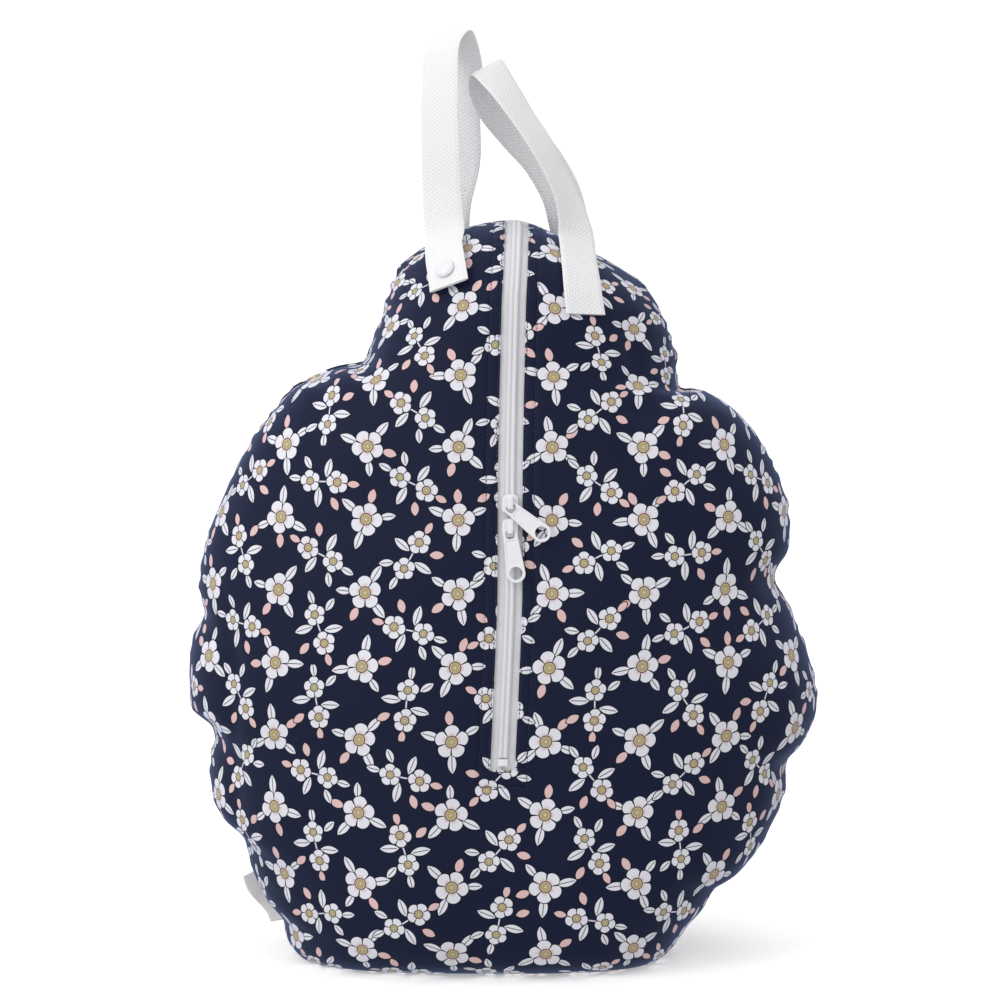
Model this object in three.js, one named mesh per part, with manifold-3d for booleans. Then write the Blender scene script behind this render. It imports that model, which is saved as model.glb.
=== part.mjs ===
// Cloth diaper wet bag, standing full on its flattened base with both handles up.
// Millimetres, +Z up, front towards -Y, origin on the floor under the middle of the bag.
import * as THREE from 'three';
import Module from 'manifold-3d';

const wasm = await Module();
wasm.setup();

// Bag body
const bodyHeight = 461;
const bodyWidth = 400;
const bodyDepth = 204;
const clothThickness = 1.5;
const pieceGap = 0.3;
const leftDropPower = 2.2;
const rightDropPower = 1.3;
const rowStep = 13.5;
const floorFade = 25;

// Zipper
const slitHalfWidth = 7.4;
const slitEndShare = 0.2852;
const tapeWidth = 30;
const tapeThickness = 1;
const tapeGap = 0.5;
const coilWidth = 6.2;
const coilThickness = 1.9;
const coilShoulder = 0.9;
const coilShoulderDrop = 0.6;
const zipperTopShare = 0.995;
const stopWidth = 6;
const stopLength = 4.2;
const stopThickness = 2.4;
const stopSetback = 2.5;

// Sliders and pulls
const upperSliderHeight = 0.621 * bodyHeight;
const sliderSpacing = 14.6;
const sliderWidth = 9.6;
const sliderAboveLeg = 9;
const sliderBelowLeg = 2.2;
const plateThickness = 1.2;
const plateCorner = 2;
const plateTopCorner = 4.4;
const lipThickness = 1.1;
const postWidth = 1.6;
const postLength = 2.4;
const upperPostBelowLeg = 1.8;
const bridgeWidth = 3.4;
const bridgeLength = 8.4;
const bridgeLegLength = 1.6;
const bridgeTopThickness = 1.3;
const joinDepth = 0.4;
const pullThickness = 1.5;
const pullLength = 33;
const pullTopWidth = 8.4;
const pullEndWidth = 11.3;
const pullBarWidth = 1.6;
const pullWindowLength = 5;
const pullWindowWidth = 5.4;
const pullWindowTopCorner = 1.2;
const pullWindowEndCorner = 2.3;
const pullHoleDiameter = 7.7;
const pullRimWidth = 1.1;
const pullRecess = 0.35;
const upperPullAngle = 51;
const upperPullShift = 0.5;
const upperPullReach = 0.3;
const lowerPullAngle = 8.8;

// Handles, snap and side label
const webbingWidth = 25.4;
const webbingThickness = 1.8;
const webbingEdge = 0.7;
const snapDiameter = 12.5;
const snapDomeHeight = 3;
const snapRimHeight = 0.8;
const snapPostHeight = 1;
const snapRingDiameter = 11;
const snapPostDiameter = 3.8;
const snapLayerThickness = 1.6;
const snapBendRoom = 0.6;
const snapHeight = 0.9241 * bodyHeight;
const snapSide = -0.076 * bodyWidth;
const labelLength = 37;
const labelReach = 9.5;
const labelThickness = 1;
const labelWave = 0.8;
const labelBend = 1.6;
const labelHeight = 0.0716 * bodyHeight;

// Rings of the body from the seam under the base to the seam along the top.
// height, left drop and right drop are shares of bodyHeight, middle, left and right
// of bodyWidth, front and back of bodyDepth; round is the power of the ring's curve.
// height, middle, left, right, front, back, round, left drop, right drop
const ringTable = [
  [0, 0.005, 0.295, 0.23, 0, 0, 2.6, 0, 0],
  [0, 0.0055, 0.3205, 0.2495, 0.3382, 0.3039, 3, 0, 0],
  [0.0152, 0.006, 0.3385, 0.269, 0.4216, 0.3873, 2.8, 0, 0],
  [0.0477, 0.0063, 0.3588, 0.2963, 0.4706, 0.4412, 2.6, 0, 0],
  [0.0976, 0.0058, 0.3883, 0.3567, 0.5, 0.4755, 2.4, 0, 0],
  [0.1562, 0.0052, 0.4226, 0.4149, 0.5147, 0.4951, 2.3, 0, 0],
  [0.2191, 0.0045, 0.4595, 0.448, 0.5196, 0.5, 2.25, 0, 0],
  [0.2852, 0.0043, 0.4668, 0.4757, 0.5196, 0.5, 2.25, 0, 0],
  [0.3427, 0.0068, 0.4968, 0.4932, 0.5196, 0.5, 2.2, 0, 0],
  [0.3991, 0.0098, 0.4998, 0.4802, 0.5147, 0.4951, 2.2, 0, 0],
  [0.4577, 0.0126, 0.4926, 0.4524, 0.5049, 0.4853, 2.2, 0, 0],
  [0.5163, 0.0147, 0.4872, 0.4328, 0.4902, 0.473, 2.2, 0, 0],
  [0.5662, 0.015, 0.4775, 0.4412, 0.473, 0.4559, 2.2, 0, 0],
  [0.6139, 0.0152, 0.4552, 0.4373, 0.4534, 0.4387, 2.2, 0, 0],
  [0.6594, 0.0153, 0.4303, 0.4184, 0.4338, 0.4216, 2.2, 0, 0],
  [0.7007, 0.016, 0.406, 0.394, 0.4142, 0.4044, 2.2, 0, 0],
  [0.7375, 0.0168, 0.3767, 0.3583, 0.3946, 0.3873, 2.2, 0, 0],
  [0.7701, 0.0175, 0.345, 0.31, 0.3799, 0.3701, 2.2, 0, 0.0043],
  [0.8004, 0.0185, 0.301, 0.274, 0.3676, 0.3554, 2.2, 0.0087, 0.0239],
  [0.8286, 0.0192, 0.2617, 0.2632, 0.3603, 0.348, 2.15, 0.0217, 0.0347],
  [0.859, 0.02, 0.235, 0.2562, 0.3529, 0.3382, 2.1, 0.0347, 0.0434],
  [0.8915, 0.021, 0.2185, 0.2465, 0.3382, 0.3235, 2.1, 0.0456, 0.0499],
  [0.9219, 0.023, 0.2092, 0.2358, 0.3088, 0.2966, 2.05, 0.0521, 0.0586],
  [0.9501, 0.0244, 0.2019, 0.2244, 0.2647, 0.2549, 2, 0.0564, 0.0694],
  [0.9718, 0.0254, 0.1954, 0.2146, 0.2108, 0.2034, 2, 0.0607, 0.0781],
  [0.9881, 0.0262, 0.19, 0.2063, 0.1422, 0.1373, 2, 0.0618, 0.0835],
  [0.997, 0.0266, 0.1853, 0.2009, 0.0711, 0.0686, 2, 0.061, 0.0848],
  [1, 0.0266, 0.1816, 0.1959, 0, 0, 2, 0.0586, 0.0824],
];

// Folds in the cloth, each pressed in along a line in the front view. Sides are shares of
// bodyWidth, heights of bodyHeight, depth of bodyDepth and spread of bodyWidth.
// A fading fold runs out to nothing at its end; a negative depth swells outwards.
// panels, side, height, end side, end height, depth, spread, fading
const foldTable = [
  ['both', -0.465, 0.306, -0.4, 0.265, 0.0343, 0.0275, 1],
  ['both', -0.48, 0.469, -0.415, 0.434, 0.0245, 0.025, 1],
  ['front', -0.415, 0.482, -0.41, 0.217, 0.0172, 0.025, 0],
  ['both', -0.415, 0.158, -0.24, 0.095, 0.0245, 0.025, 1],
  ['both', -0.35, 0.048, -0.25, 0.013, 0.0172, 0.0225, 1],
  ['both', 0.45, 0.516, 0.375, 0.527, 0.0294, 0.0275, 1],
  ['both', 0.46, 0.26, 0.38, 0.278, 0.0343, 0.0275, 1],
  ['both', 0.343, 0.087, 0.26, 0.121, 0.0221, 0.025, 1],
  ['front', 0.2, 0.85, 0.215, 0.651, 0.0196, 0.025, 1],
  ['front', 0.26, 0.816, 0.245, 0.764, 0.0245, 0.0375, 0],
  ['front', -0.28, 0.794, -0.275, 0.707, 0.0245, 0.025, 1],
  ['both', -0.225, 0.82, -0.155, 0.764, 0.0245, 0.0225, 1],
  ['front', -0.22, 0.824, -0.195, 0.733, 0.0147, 0.0225, 1],
  ['both', 0.285, 0.781, 0.24, 0.759, 0.0196, 0.0225, 1],
  ['front', 0.15, 0.466, 0.375, 0.434, -0.0098, 0.055, 0],
  ['back', -0.225, 0.781, -0.21, 0.629, 0.0245, 0.03, 1],
  ['back', 0.175, 0.835, 0.15, 0.672, 0.0196, 0.03, 1],
  ['back', 0.025, 0.499, -0.15, 0.325, -0.0147, 0.075, 0],
];

// Webbing centre lines from the front end over the crest to the back end. Rows on the
// cloth give how far the webbing stands off it; free rows give their depth instead.
// where, side (of bodyWidth), stand-off in mm or depth (of bodyDepth),
// height (of bodyHeight), yaw and lean of the width in degrees
const snapStandOff = 2 * snapLayerThickness + 3 * pieceGap + snapBendRoom;
const strapStandOff = 2 * pieceGap;
const leftStrapTable = [
  ['front', -0.0715, snapStandOff, 0.9046, 0, 0],
  ['front', -0.0755, snapStandOff, 0.9284, 0, 0],
  ['front', -0.0795, snapStandOff, 0.9501, 0, 0],
  ['free', -0.085, -0.15, 0.983, -12, 12],
  ['free', -0.089, -0.13, 1.026, -18, 6],
  ['free', -0.092, -0.125, 1.095, -22, 6],
  ['free', -0.093, -0.103, 1.17, -26, 5],
  ['free', -0.088, -0.056, 1.233, -33, 5],
  ['free', -0.07, 0, 1.252, -37, 2],
  ['free', -0.055, 0.07, 1.216, -33, -5],
  ['free', -0.06, 0.125, 1.148, -22, -14],
  ['free', -0.062, 0.148, 1.083, -14, -15],
  ['free', -0.076, 0.152, 1.032, -8, -12],
  ['free', -0.08, 0.155, 1.002, -4, 0],
  ['free', -0.08, 0.168, 0.977, 0, 13],
  ['back', -0.0775, strapStandOff, 0.9479, 0, 0],
  ['back', -0.0788, strapStandOff, 0.9241, 0, 0],
  ['back', -0.0788, strapStandOff, 0.898, 0, 0],
];
const rightStrapTable = [
  ['front', 0.128, strapStandOff, 0.8718, 0, 9],
  ['front', 0.1245, strapStandOff, 0.898, 0, 8],
  ['front', 0.1215, strapStandOff, 0.9255, 0, 8],
  ['front', 0.119, strapStandOff, 0.9458, 0, 9],
  ['free', 0.118, -0.14, 0.972, 18, -20],
  ['free', 0.1145, -0.1225, 0.996, 35, -12],
  ['free', 0.104, -0.113, 1.027, 48, -4],
  ['free', 0.087, -0.108, 1.06, 55, 4],
  ['free', 0.065, -0.105, 1.097, 53, 11],
  ['free', 0.034, -0.088, 1.138, 54, 13],
  ['free', 0.003, -0.062, 1.178, 48, 19],
  ['free', -0.022, -0.028, 1.204, 36, 27],
  ['free', -0.024, 0.008, 1.188, 24, 38],
  ['free', -0.008, 0.045, 1.157, 13, 47],
  ['free', 0.026, 0.082, 1.122, 8, 48],
  ['free', 0.067, 0.105, 1.083, 5, 42],
  ['free', 0.097, 0.1175, 1.037, 4, 26],
  ['free', 0.1075, 0.1265, 1.004, 2, 3],
  ['free', 0.1145, 0.145, 0.976, 2, -14],
  ['back', 0.118, strapStandOff, 0.9458, 0, 8],
  ['back', 0.121, strapStandOff, 0.9241, 0, 6],
  ['back', 0.123, strapStandOff, 0.898, 0, 4],
];

// Body surface

const radians = (degrees) => degrees * Math.PI / 180;
const vector = (x, y, z) => new THREE.Vector3(x, y, z);

// Every ring's place along the front middle line, measured by length and scaled to 0..1.
const ringLengths = [0];
for (let i = 1; i < ringTable.length; i += 1) {
  const rise = bodyHeight * (ringTable[i][0] - ringTable[i - 1][0]);
  const swell = bodyDepth * (ringTable[i][4] - ringTable[i - 1][4]);
  ringLengths.push(ringLengths[i - 1] + Math.hypot(rise, swell));
}
const frontLength = ringLengths[ringLengths.length - 1];
const ringPlaces = ringLengths.map((length) => length / frontLength);

// Slopes that keep each column from overshooting between its rings.
const ringSlopes = ringTable.map((row, i) => row.map((value, column) => {
  if (i === 0 || i === ringTable.length - 1) {
    const near = i === 0 ? 1 : i - 1;
    return (ringTable[near][column] - value) / (ringPlaces[near] - ringPlaces[i]);
  }
  const before = (value - ringTable[i - 1][column]) / (ringPlaces[i] - ringPlaces[i - 1]);
  const after = (ringTable[i + 1][column] - value) / (ringPlaces[i + 1] - ringPlaces[i]);
  return before * after > 0 ? 2 * before * after / (before + after) : 0;
}));

function ringAt(v) {
  let i = 0;
  while (i < ringPlaces.length - 2 && v > ringPlaces[i + 1]) i += 1;
  const span = ringPlaces[i + 1] - ringPlaces[i];
  const t = THREE.MathUtils.clamp((v - ringPlaces[i]) / span, 0, 1);
  const keep = (1 + 2 * t) * (1 - t) ** 2;
  const leave = t * (1 - t) ** 2;
  const arrive = t * t * (t - 1);
  return ringTable[i].map((value, column) => value * keep
    + ringTable[i + 1][column] * (1 - keep)
    + span * (ringSlopes[i][column] * leave + ringSlopes[i + 1][column] * arrive));
}

// side is -1 on the front panel and 1 on the back one; u runs from the left seam (-1)
// to the right seam (1); v runs from the base seam (0) to the top seam (1).
function smoothPoint(side, u, v) {
  const [height, middle, left, right, front, back, round, leftDrop, rightDrop] = ringAt(v);
  const lateral = Math.sin(Math.PI * u / 2);
  const reach = Math.abs(lateral);
  const swell = (1 - Math.min(reach, 1) ** round) ** (1 / round);
  const drop = u < 0 ? leftDrop * reach ** leftDropPower : rightDrop * reach ** rightDropPower;
  return vector(
    bodyWidth * (middle + (u < 0 ? left : right) * lateral),
    side * (pieceGap / 2 + bodyDepth * (side < 0 ? front : back) * swell),
    bodyHeight * (height - drop),
  );
}

function normalOf(surface, side, u, v) {
  const step = 0.002;
  const across = surface(side, Math.min(u + step, 1), v).sub(surface(side, Math.max(u - step, -1), v));
  const along = surface(side, u, Math.min(v + step, 1)).sub(surface(side, u, Math.max(v - step, 0)));
  const normal = across.cross(along).multiplyScalar(-side);
  if (Math.abs(u) === 1 || v === 0 || v === 1) normal.y = 0;
  return normal.normalize();
}

function foldDepth(side, x, z, swell) {
  let depth = 0;
  for (const [panels, x0, z0, x1, z1, share, spread, fading] of foldTable) {
    if (panels !== 'both' && (panels === 'front') !== (side < 0)) continue;
    const start = new THREE.Vector2(bodyWidth * x0, bodyHeight * z0);
    const line = new THREE.Vector2(bodyWidth * x1, bodyHeight * z1).sub(start);
    const from = new THREE.Vector2(x, z).sub(start);
    const t = THREE.MathUtils.clamp(from.dot(line) / line.lengthSq(), 0, 1);
    const distance = from.sub(line.multiplyScalar(t)).length() / (bodyWidth * spread);
    const strength = (fading ? 1 - t : 1) * (panels === 'both' ? 1 : swell);
    depth += bodyDepth * share * strength * Math.exp(-distance * distance);
  }
  return depth * THREE.MathUtils.smoothstep(z, 0, floorFade);
}

function clothPoint(side, u, v) {
  const point = smoothPoint(side, u, v);
  const swell = Math.cos(Math.PI * u / 2);
  const normal = normalOf(smoothPoint, side, u, v);
  return point.addScaledVector(normal, -foldDepth(side, point.x, point.z, swell));
}

// The place (u, v) on a panel that lies over a point of the front view.
function locate(side, x, z) {
  const target = new THREE.Vector2(x, z);
  let v = 0.05;
  while (v < 0.98 && clothPoint(side, 0, v).z < z) v += 0.01;
  let u = 0;
  for (let pass = 0; pass < 20; pass += 1) {
    const step = 0.001;
    const here = clothPoint(side, u, v);
    const across = clothPoint(side, u + step, v).sub(here).divideScalar(step);
    const along = clothPoint(side, u, v + step).sub(here).divideScalar(step);
    const missX = target.x - here.x;
    const missZ = target.y - here.z;
    const scale = across.x * along.z - across.z * along.x;
    u = THREE.MathUtils.clamp(u + 0.7 * (missX * along.z - missZ * along.x) / scale, -0.98, 0.98);
    v = THREE.MathUtils.clamp(v + 0.7 * (missZ * across.x - missX * across.z) / scale, 0.01, 0.995);
  }
  return [u, v];
}

// Solids

function solidGeometry(points, faces) {
  let volume = 0;
  for (const [a, b, c] of faces) volume += points[a].dot(points[b].clone().cross(points[c]));
  const geometry = new THREE.BufferGeometry();
  const positions = points.flatMap((point) => [point.x, point.y, point.z]);
  geometry.setAttribute('position', new THREE.Float32BufferAttribute(positions, 3));
  geometry.setIndex(faces.flatMap(([a, b, c]) => (volume < 0 ? [a, c, b] : [a, b, c])));
  geometry.computeVertexNormals();
  return geometry;
}

// A sheet between two grids of points; cells where filled(row, column) is false stay open.
function sheetGeometry(outer, inner, filled) {
  const points = [];
  const faces = [];
  const indices = new Map();
  const corner = (grid, layer, row, column) => {
    const key = `${layer}/${row}/${column}`;
    if (!indices.has(key)) {
      indices.set(key, points.length);
      points.push(grid[row][column]);
    }
    return indices.get(key);
  };
  const quad = (a, b, c, d) => faces.push([a, b, c], [a, c, d]);
  const rows = outer.length - 1;
  const columns = outer[0].length - 1;
  const isFilled = (r, c) => r >= 0 && c >= 0 && r < rows && c < columns && filled(r, c);
  const out = (r, c) => corner(outer, 'outer', r, c);
  const back = (r, c) => corner(inner, 'inner', r, c);
  for (let r = 0; r < rows; r += 1) {
    for (let c = 0; c < columns; c += 1) {
      if (!isFilled(r, c)) continue;
      quad(out(r, c), out(r, c + 1), out(r + 1, c + 1), out(r + 1, c));
      quad(back(r, c), back(r + 1, c), back(r + 1, c + 1), back(r, c + 1));
      if (!isFilled(r - 1, c)) quad(out(r, c), back(r, c), back(r, c + 1), out(r, c + 1));
      if (!isFilled(r + 1, c)) quad(out(r + 1, c), out(r + 1, c + 1), back(r + 1, c + 1), back(r + 1, c));
      if (!isFilled(r, c - 1)) quad(out(r, c), out(r + 1, c), back(r + 1, c), back(r, c));
      if (!isFilled(r, c + 1)) quad(out(r, c + 1), back(r, c + 1), back(r + 1, c + 1), out(r + 1, c + 1));
    }
  }
  return solidGeometry(points, faces);
}

// A convex section swept along frames; each section corner is [across, up].
function sweptGeometry(frames, section) {
  const points = [];
  const faces = [];
  const count = section.length;
  for (const { centre, across, up } of frames) {
    for (const [a, b] of section) {
      points.push(centre.clone().addScaledVector(across, a).addScaledVector(up, b));
    }
  }
  for (let i = 0; i < frames.length - 1; i += 1) {
    for (let j = 0; j < count; j += 1) {
      const k = (j + 1) % count;
      const [a, b, c, d] = [i * count + j, i * count + k, (i + 1) * count + k, (i + 1) * count + j];
      faces.push([a, b, c], [a, c, d]);
    }
  }
  const last = (frames.length - 1) * count;
  for (let j = 1; j < count - 1; j += 1) {
    faces.push([0, j + 1, j], [last, last + j, last + j + 1]);
  }
  return solidGeometry(points, faces);
}

function pieceMesh(name, geometry, colour, roughness, metalness = 0) {
  const material = new THREE.MeshStandardMaterial({ color: colour, roughness, metalness });
  const mesh = new THREE.Mesh(geometry, material);
  mesh.name = name;
  return mesh;
}

// Panels

const clothRows = [];
ringPlaces.forEach((place, i) => {
  if (i === 0) {
    clothRows.push(place);
    return;
  }
  const start = ringPlaces[i - 1];
  const parts = i === 1 ? 3 : Math.max(1, Math.round((place - start) * frontLength / rowStep));
  for (let k = 1; k <= parts; k += 1) clothRows.push(start + (place - start) * k / parts);
});
const slitEndRow = clothRows.findIndex((v) => v > 0.1 && ringAt(v)[0] > slitEndShare - 0.001);

// u of a point that lies a given distance beside the front middle line.
function besideLine(v, offset) {
  const [, , left, right] = ringAt(v);
  const half = bodyWidth * (offset < 0 ? left : right);
  return Math.asin(offset / half) * 2 / Math.PI;
}

function panelColumns(v, cellsBeside, slitCells) {
  const left = besideLine(v, -slitHalfWidth);
  const right = besideLine(v, slitHalfWidth);
  const columns = [];
  for (let k = 0; k < cellsBeside; k += 1) columns.push(-1 + (left + 1) * k / cellsBeside);
  for (let k = 0; k < slitCells; k += 1) columns.push(left + (right - left) * k / slitCells);
  for (let k = 0; k <= cellsBeside; k += 1) columns.push(right + (1 - right) * k / cellsBeside);
  return columns;
}

// Normals of a grid, averaged over the cells around each point.
function gridNormals(grid, side) {
  return grid.map((line, r) => line.map((point, c) => {
    const normal = vector(0, 0, 0);
    const around = [[0, 1, 1, 0], [1, 0, 0, -1], [0, -1, -1, 0], [-1, 0, 0, 1]];
    for (const [r1, c1, r2, c2] of around) {
      const one = grid[r + r1]?.[c + c1];
      const two = grid[r + r2]?.[c + c2];
      if (one && two) normal.add(one.clone().sub(point).cross(two.clone().sub(point)).normalize());
    }
    normal.multiplyScalar(-side);
    if (r === 0 || r === grid.length - 1 || c === 0 || c === line.length - 1) normal.y = 0;
    return normal.normalize();
  }));
}

function panelGeometry(side, cellsBeside, slitCells, filled) {
  const outer = clothRows.map((v) => panelColumns(v, cellsBeside, slitCells)
    .map((u) => clothPoint(side, u, v)));
  const normals = gridNormals(outer, side);
  const inner = outer.map((line, r) => line.map(
    (point, c) => point.clone().addScaledVector(normals[r][c], -clothThickness),
  ));
  return sheetGeometry(outer, inner, filled);
}

const frontCells = 13;
const backCells = 9;
const inSlit = (row, column) => row >= slitEndRow && column >= frontCells && column < frontCells + 2;
const frontPanel = panelGeometry(-1, frontCells, 2, (row, column) => !inSlit(row, column));
const backPanel = panelGeometry(1, backCells, 1, () => true);

// Zipper

function zipperFrame(v) {
  const centre = clothPoint(-1, 0, v);
  const up = normalOf(clothPoint, -1, 0, v);
  const along = clothPoint(-1, 0, v + 0.001).sub(clothPoint(-1, 0, v - 0.001)).normalize();
  return { centre, across: along.clone().cross(up).normalize(), up, along };
}

function placeAtHeight(height) {
  let low = 0.2;
  let high = 1;
  for (let pass = 0; pass < 40; pass += 1) {
    const middle = (low + high) / 2;
    if (clothPoint(-1, 0, middle).z < height) low = middle;
    else high = middle;
  }
  return low;
}

const slotHalfWidth = postWidth / 2 + pieceGap;
const tapeTop = -(clothThickness + tapeGap);
const tapeRows = clothRows.filter((v, row) => row >= slitEndRow - 1 && v < zipperTopShare);
tapeRows.push(zipperTopShare);

function tapeGeometry(hand) {
  const offsets = [slotHalfWidth, slitHalfWidth, tapeWidth / 2].map((offset) => hand * offset);
  const layer = (depth) => tapeRows.map((v) => offsets.map((offset) => {
    const u = besideLine(v, offset);
    return clothPoint(-1, u, v).addScaledVector(normalOf(clothPoint, -1, u, v), depth);
  }));
  return sheetGeometry(layer(tapeTop), layer(tapeTop - tapeThickness), () => true);
}

const coilBase = tapeTop + pieceGap;
const coilTop = coilBase + coilThickness;
const plateBase = coilTop + pieceGap;
const plateTop = plateBase + plateThickness;
// The pull's bar turns freely under the bridge.
const barDiagonal = Math.hypot(pullThickness, pullBarWidth);
const bridgeInside = barDiagonal + 2 * pieceGap;
const pullBase = plateTop + (bridgeInside - pullThickness) / 2;

const upperLeg = placeAtHeight(upperSliderHeight);
const lowerLeg = upperLeg - sliderSpacing / frontLength;
const upperPostTop = upperLeg + (postLength - upperPostBelowLeg) / frontLength;
const lowerPostBottom = lowerLeg + (sliderAboveLeg - joinDepth - postLength) / frontLength;

function coilGeometry(from, to) {
  const half = coilWidth / 2;
  const section = [
    [-half, coilBase], [half, coilBase], [half, coilTop - coilShoulderDrop],
    [half - coilShoulder, coilTop], [coilShoulder - half, coilTop], [-half, coilTop - coilShoulderDrop],
  ];
  const inside = clothRows.filter((v) => v > from + 0.004 && v < to - 0.004);
  return sweptGeometry([from, ...inside, to].map(zipperFrame), section);
}

const upperCoil = coilGeometry(upperPostTop + pieceGap / frontLength, zipperTopShare);
const stopPlace = clothRows[slitEndRow] + stopSetback / frontLength;
const lowerCoilStart = stopPlace + (stopLength + pieceGap) / frontLength;
const lowerCoil = coilGeometry(lowerCoilStart, lowerPostBottom - pieceGap / frontLength);

function frameMatrix({ centre, across, along, up }) {
  return new THREE.Matrix4().makeBasis(across, along, up).setPosition(centre);
}

function placedBox(width, length, thickness, x, y, z) {
  return new THREE.BoxGeometry(width, length, thickness).translate(x, y, z);
}

const stopMiddle = coilBase + stopThickness / 2;
const stopBox = placedBox(stopWidth, stopLength, stopThickness, 0, stopLength / 2, stopMiddle);
stopBox.applyMatrix4(frameMatrix(zipperFrame(stopPlace)));

// Joins and cuts of closed geometries

function toSolid(geometry) {
  const source = geometry.index ? geometry.toNonIndexed() : geometry;
  const position = source.getAttribute('position');
  const corners = [];
  const known = new Map();
  const triangles = [];
  for (let i = 0; i < position.count; i += 1) {
    const point = [position.getX(i), position.getY(i), position.getZ(i)].map((n) => Math.fround(n));
    const key = point.map((n) => n.toFixed(4)).join();
    if (!known.has(key)) {
      known.set(key, corners.length / 3);
      corners.push(...point);
    }
    triangles.push(known.get(key));
  }
  const whole = [];
  for (let i = 0; i < triangles.length; i += 3) {
    const [a, b, c] = triangles.slice(i, i + 3);
    if (a !== b && b !== c && a !== c) whole.push(a, b, c);
  }
  return new wasm.Manifold(new wasm.Mesh({
    numProp: 3,
    vertProperties: new Float32Array(corners),
    triVerts: new Uint32Array(whole),
  }));
}

function fromSolid(solid) {
  const { vertProperties, triVerts } = solid.getMesh();
  const geometry = new THREE.BufferGeometry();
  geometry.setAttribute('position', new THREE.Float32BufferAttribute(Array.from(vertProperties), 3));
  geometry.setIndex(Array.from(triVerts));
  geometry.computeVertexNormals();
  return geometry;
}

// A closed outline with rounded corners. Each corner is [x, y], or [x, y, radius] where its
// radius differs from the rest.
function outlineShape(corners, radius) {
  const shape = new THREE.Shape();
  const points = corners.map(([x, y]) => new THREE.Vector2(x, y));
  points.forEach((point, i) => {
    const reach = corners[i][2] ?? radius;
    const before = points[(i + points.length - 1) % points.length].clone().sub(point).setLength(reach);
    const after = points[(i + 1) % points.length].clone().sub(point).setLength(reach);
    const enter = point.clone().add(before);
    const leave = point.clone().add(after);
    if (i === 0) shape.moveTo(enter.x, enter.y);
    else shape.lineTo(enter.x, enter.y);
    shape.quadraticCurveTo(point.x, point.y, leave.x, leave.y);
  });
  shape.closePath();
  return shape;
}

function plateGeometry(shape, thickness, base, curveSegments = 4) {
  const options = { depth: thickness, bevelEnabled: false, curveSegments };
  return new THREE.ExtrudeGeometry(shape, options).translate(0, 0, base);
}

// A slider seen from outside: X across, Y up the zipper, Z out of the cloth, with its
// origin at the bridge's lower leg. postPlace is the middle of the post along Y.
function sliderGeometry(postPlace) {
  const half = sliderWidth / 2;
  const outline = outlineShape([
    [-half, -sliderBelowLeg], [half, -sliderBelowLeg],
    [half, sliderAboveLeg, plateTopCorner], [-half, sliderAboveLeg, plateTopCorner],
  ], plateCorner);
  const lowerPlateTop = tapeTop - tapeThickness - pieceGap;
  const lipStart = plateCorner - sliderBelowLeg;
  const lipEnd = sliderAboveLeg - plateTopCorner;
  const lipBase = tapeTop + pieceGap;
  const lipHeight = plateBase - lipBase + joinDepth;
  const postHeight = plateBase - lowerPlateTop + 2 * joinDepth;
  let solid = toSolid(plateGeometry(outline, plateThickness, plateBase));
  solid = solid.add(toSolid(plateGeometry(outline, plateThickness, lowerPlateTop - plateThickness)));
  solid = solid.add(toSolid(placedBox(
    postWidth, postLength, postHeight, 0, postPlace, lowerPlateTop - joinDepth + postHeight / 2,
  )));
  for (const hand of [-1, 1]) {
    solid = solid.add(toSolid(placedBox(
      lipThickness, lipEnd - lipStart, lipHeight,
      hand * (half - lipThickness / 2), (lipStart + lipEnd) / 2, lipBase + lipHeight / 2,
    )));
  }
  const legHalf = bridgeLegLength / 2;
  const top = bridgeLength - legHalf;
  const high = bridgeInside + bridgeTopThickness;
  const profile = outlineShape([
    [-joinDepth, -legHalf], [high, -legHalf], [high, top], [-joinDepth, top],
  ], 1);
  const tunnel = outlineShape([
    [0, legHalf], [bridgeInside, legHalf],
    [bridgeInside, top - bridgeLegLength], [0, top - bridgeLegLength],
  ], 0.2);
  profile.holes.push(new THREE.Path(tunnel.getPoints(3).reverse()));
  const bridge = plateGeometry(profile, bridgeWidth, -bridgeWidth / 2, 3);
  bridge.applyMatrix4(new THREE.Matrix4().makeBasis(vector(0, 0, 1), vector(0, 1, 0), vector(-1, 0, 0)));
  return fromSolid(solid.add(toSolid(bridge.translate(0, 0, plateTop))));
}

// A pull hanging down from the middle of its window, which is the origin.
function pullGeometry() {
  const half = pullTopWidth / 2;
  const top = pullWindowLength / 2 + pullBarWidth;
  const endRadius = pullEndWidth / 2;
  const bottom = top - pullLength;
  const holePlace = bottom + endRadius;
  const outline = new THREE.Shape();
  outline.absarc(0, top - half, half, 0.1, Math.PI - 0.1, false);
  outline.absarc(0, holePlace, endRadius, Math.PI + 0.06, 2 * Math.PI - 0.06, false);
  outline.closePath();
  const side = pullWindowWidth / 2;
  const reach = pullWindowLength / 2;
  const window = outlineShape([
    [-side, -reach, pullWindowEndCorner], [side, -reach, pullWindowEndCorner], [side, reach], [-side, reach],
  ], pullWindowTopCorner);
  outline.holes.push(new THREE.Path(window.getPoints(3).reverse()));
  const hole = new THREE.Path();
  hole.absarc(0, holePlace, pullHoleDiameter / 2, 0, 2 * Math.PI, true);
  outline.holes.push(hole);
  let solid = toSolid(plateGeometry(outline, pullThickness, 0, 10));
  const panelTop = -reach - pullRimWidth;
  const panelBottom = holePlace + pullHoleDiameter / 2 + pullRimWidth;
  const topHalf = half - pullRimWidth;
  const bottomHalf = (half + endRadius) / 2 - pullRimWidth + 0.5;
  const panel = outlineShape([
    [-bottomHalf, panelBottom], [bottomHalf, panelBottom], [topHalf, panelTop], [-topHalf, panelTop],
  ], 1);
  solid = solid.subtract(toSolid(plateGeometry(panel, pullRecess + 1, pullThickness - pullRecess)));
  return fromSolid(solid);
}

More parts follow.
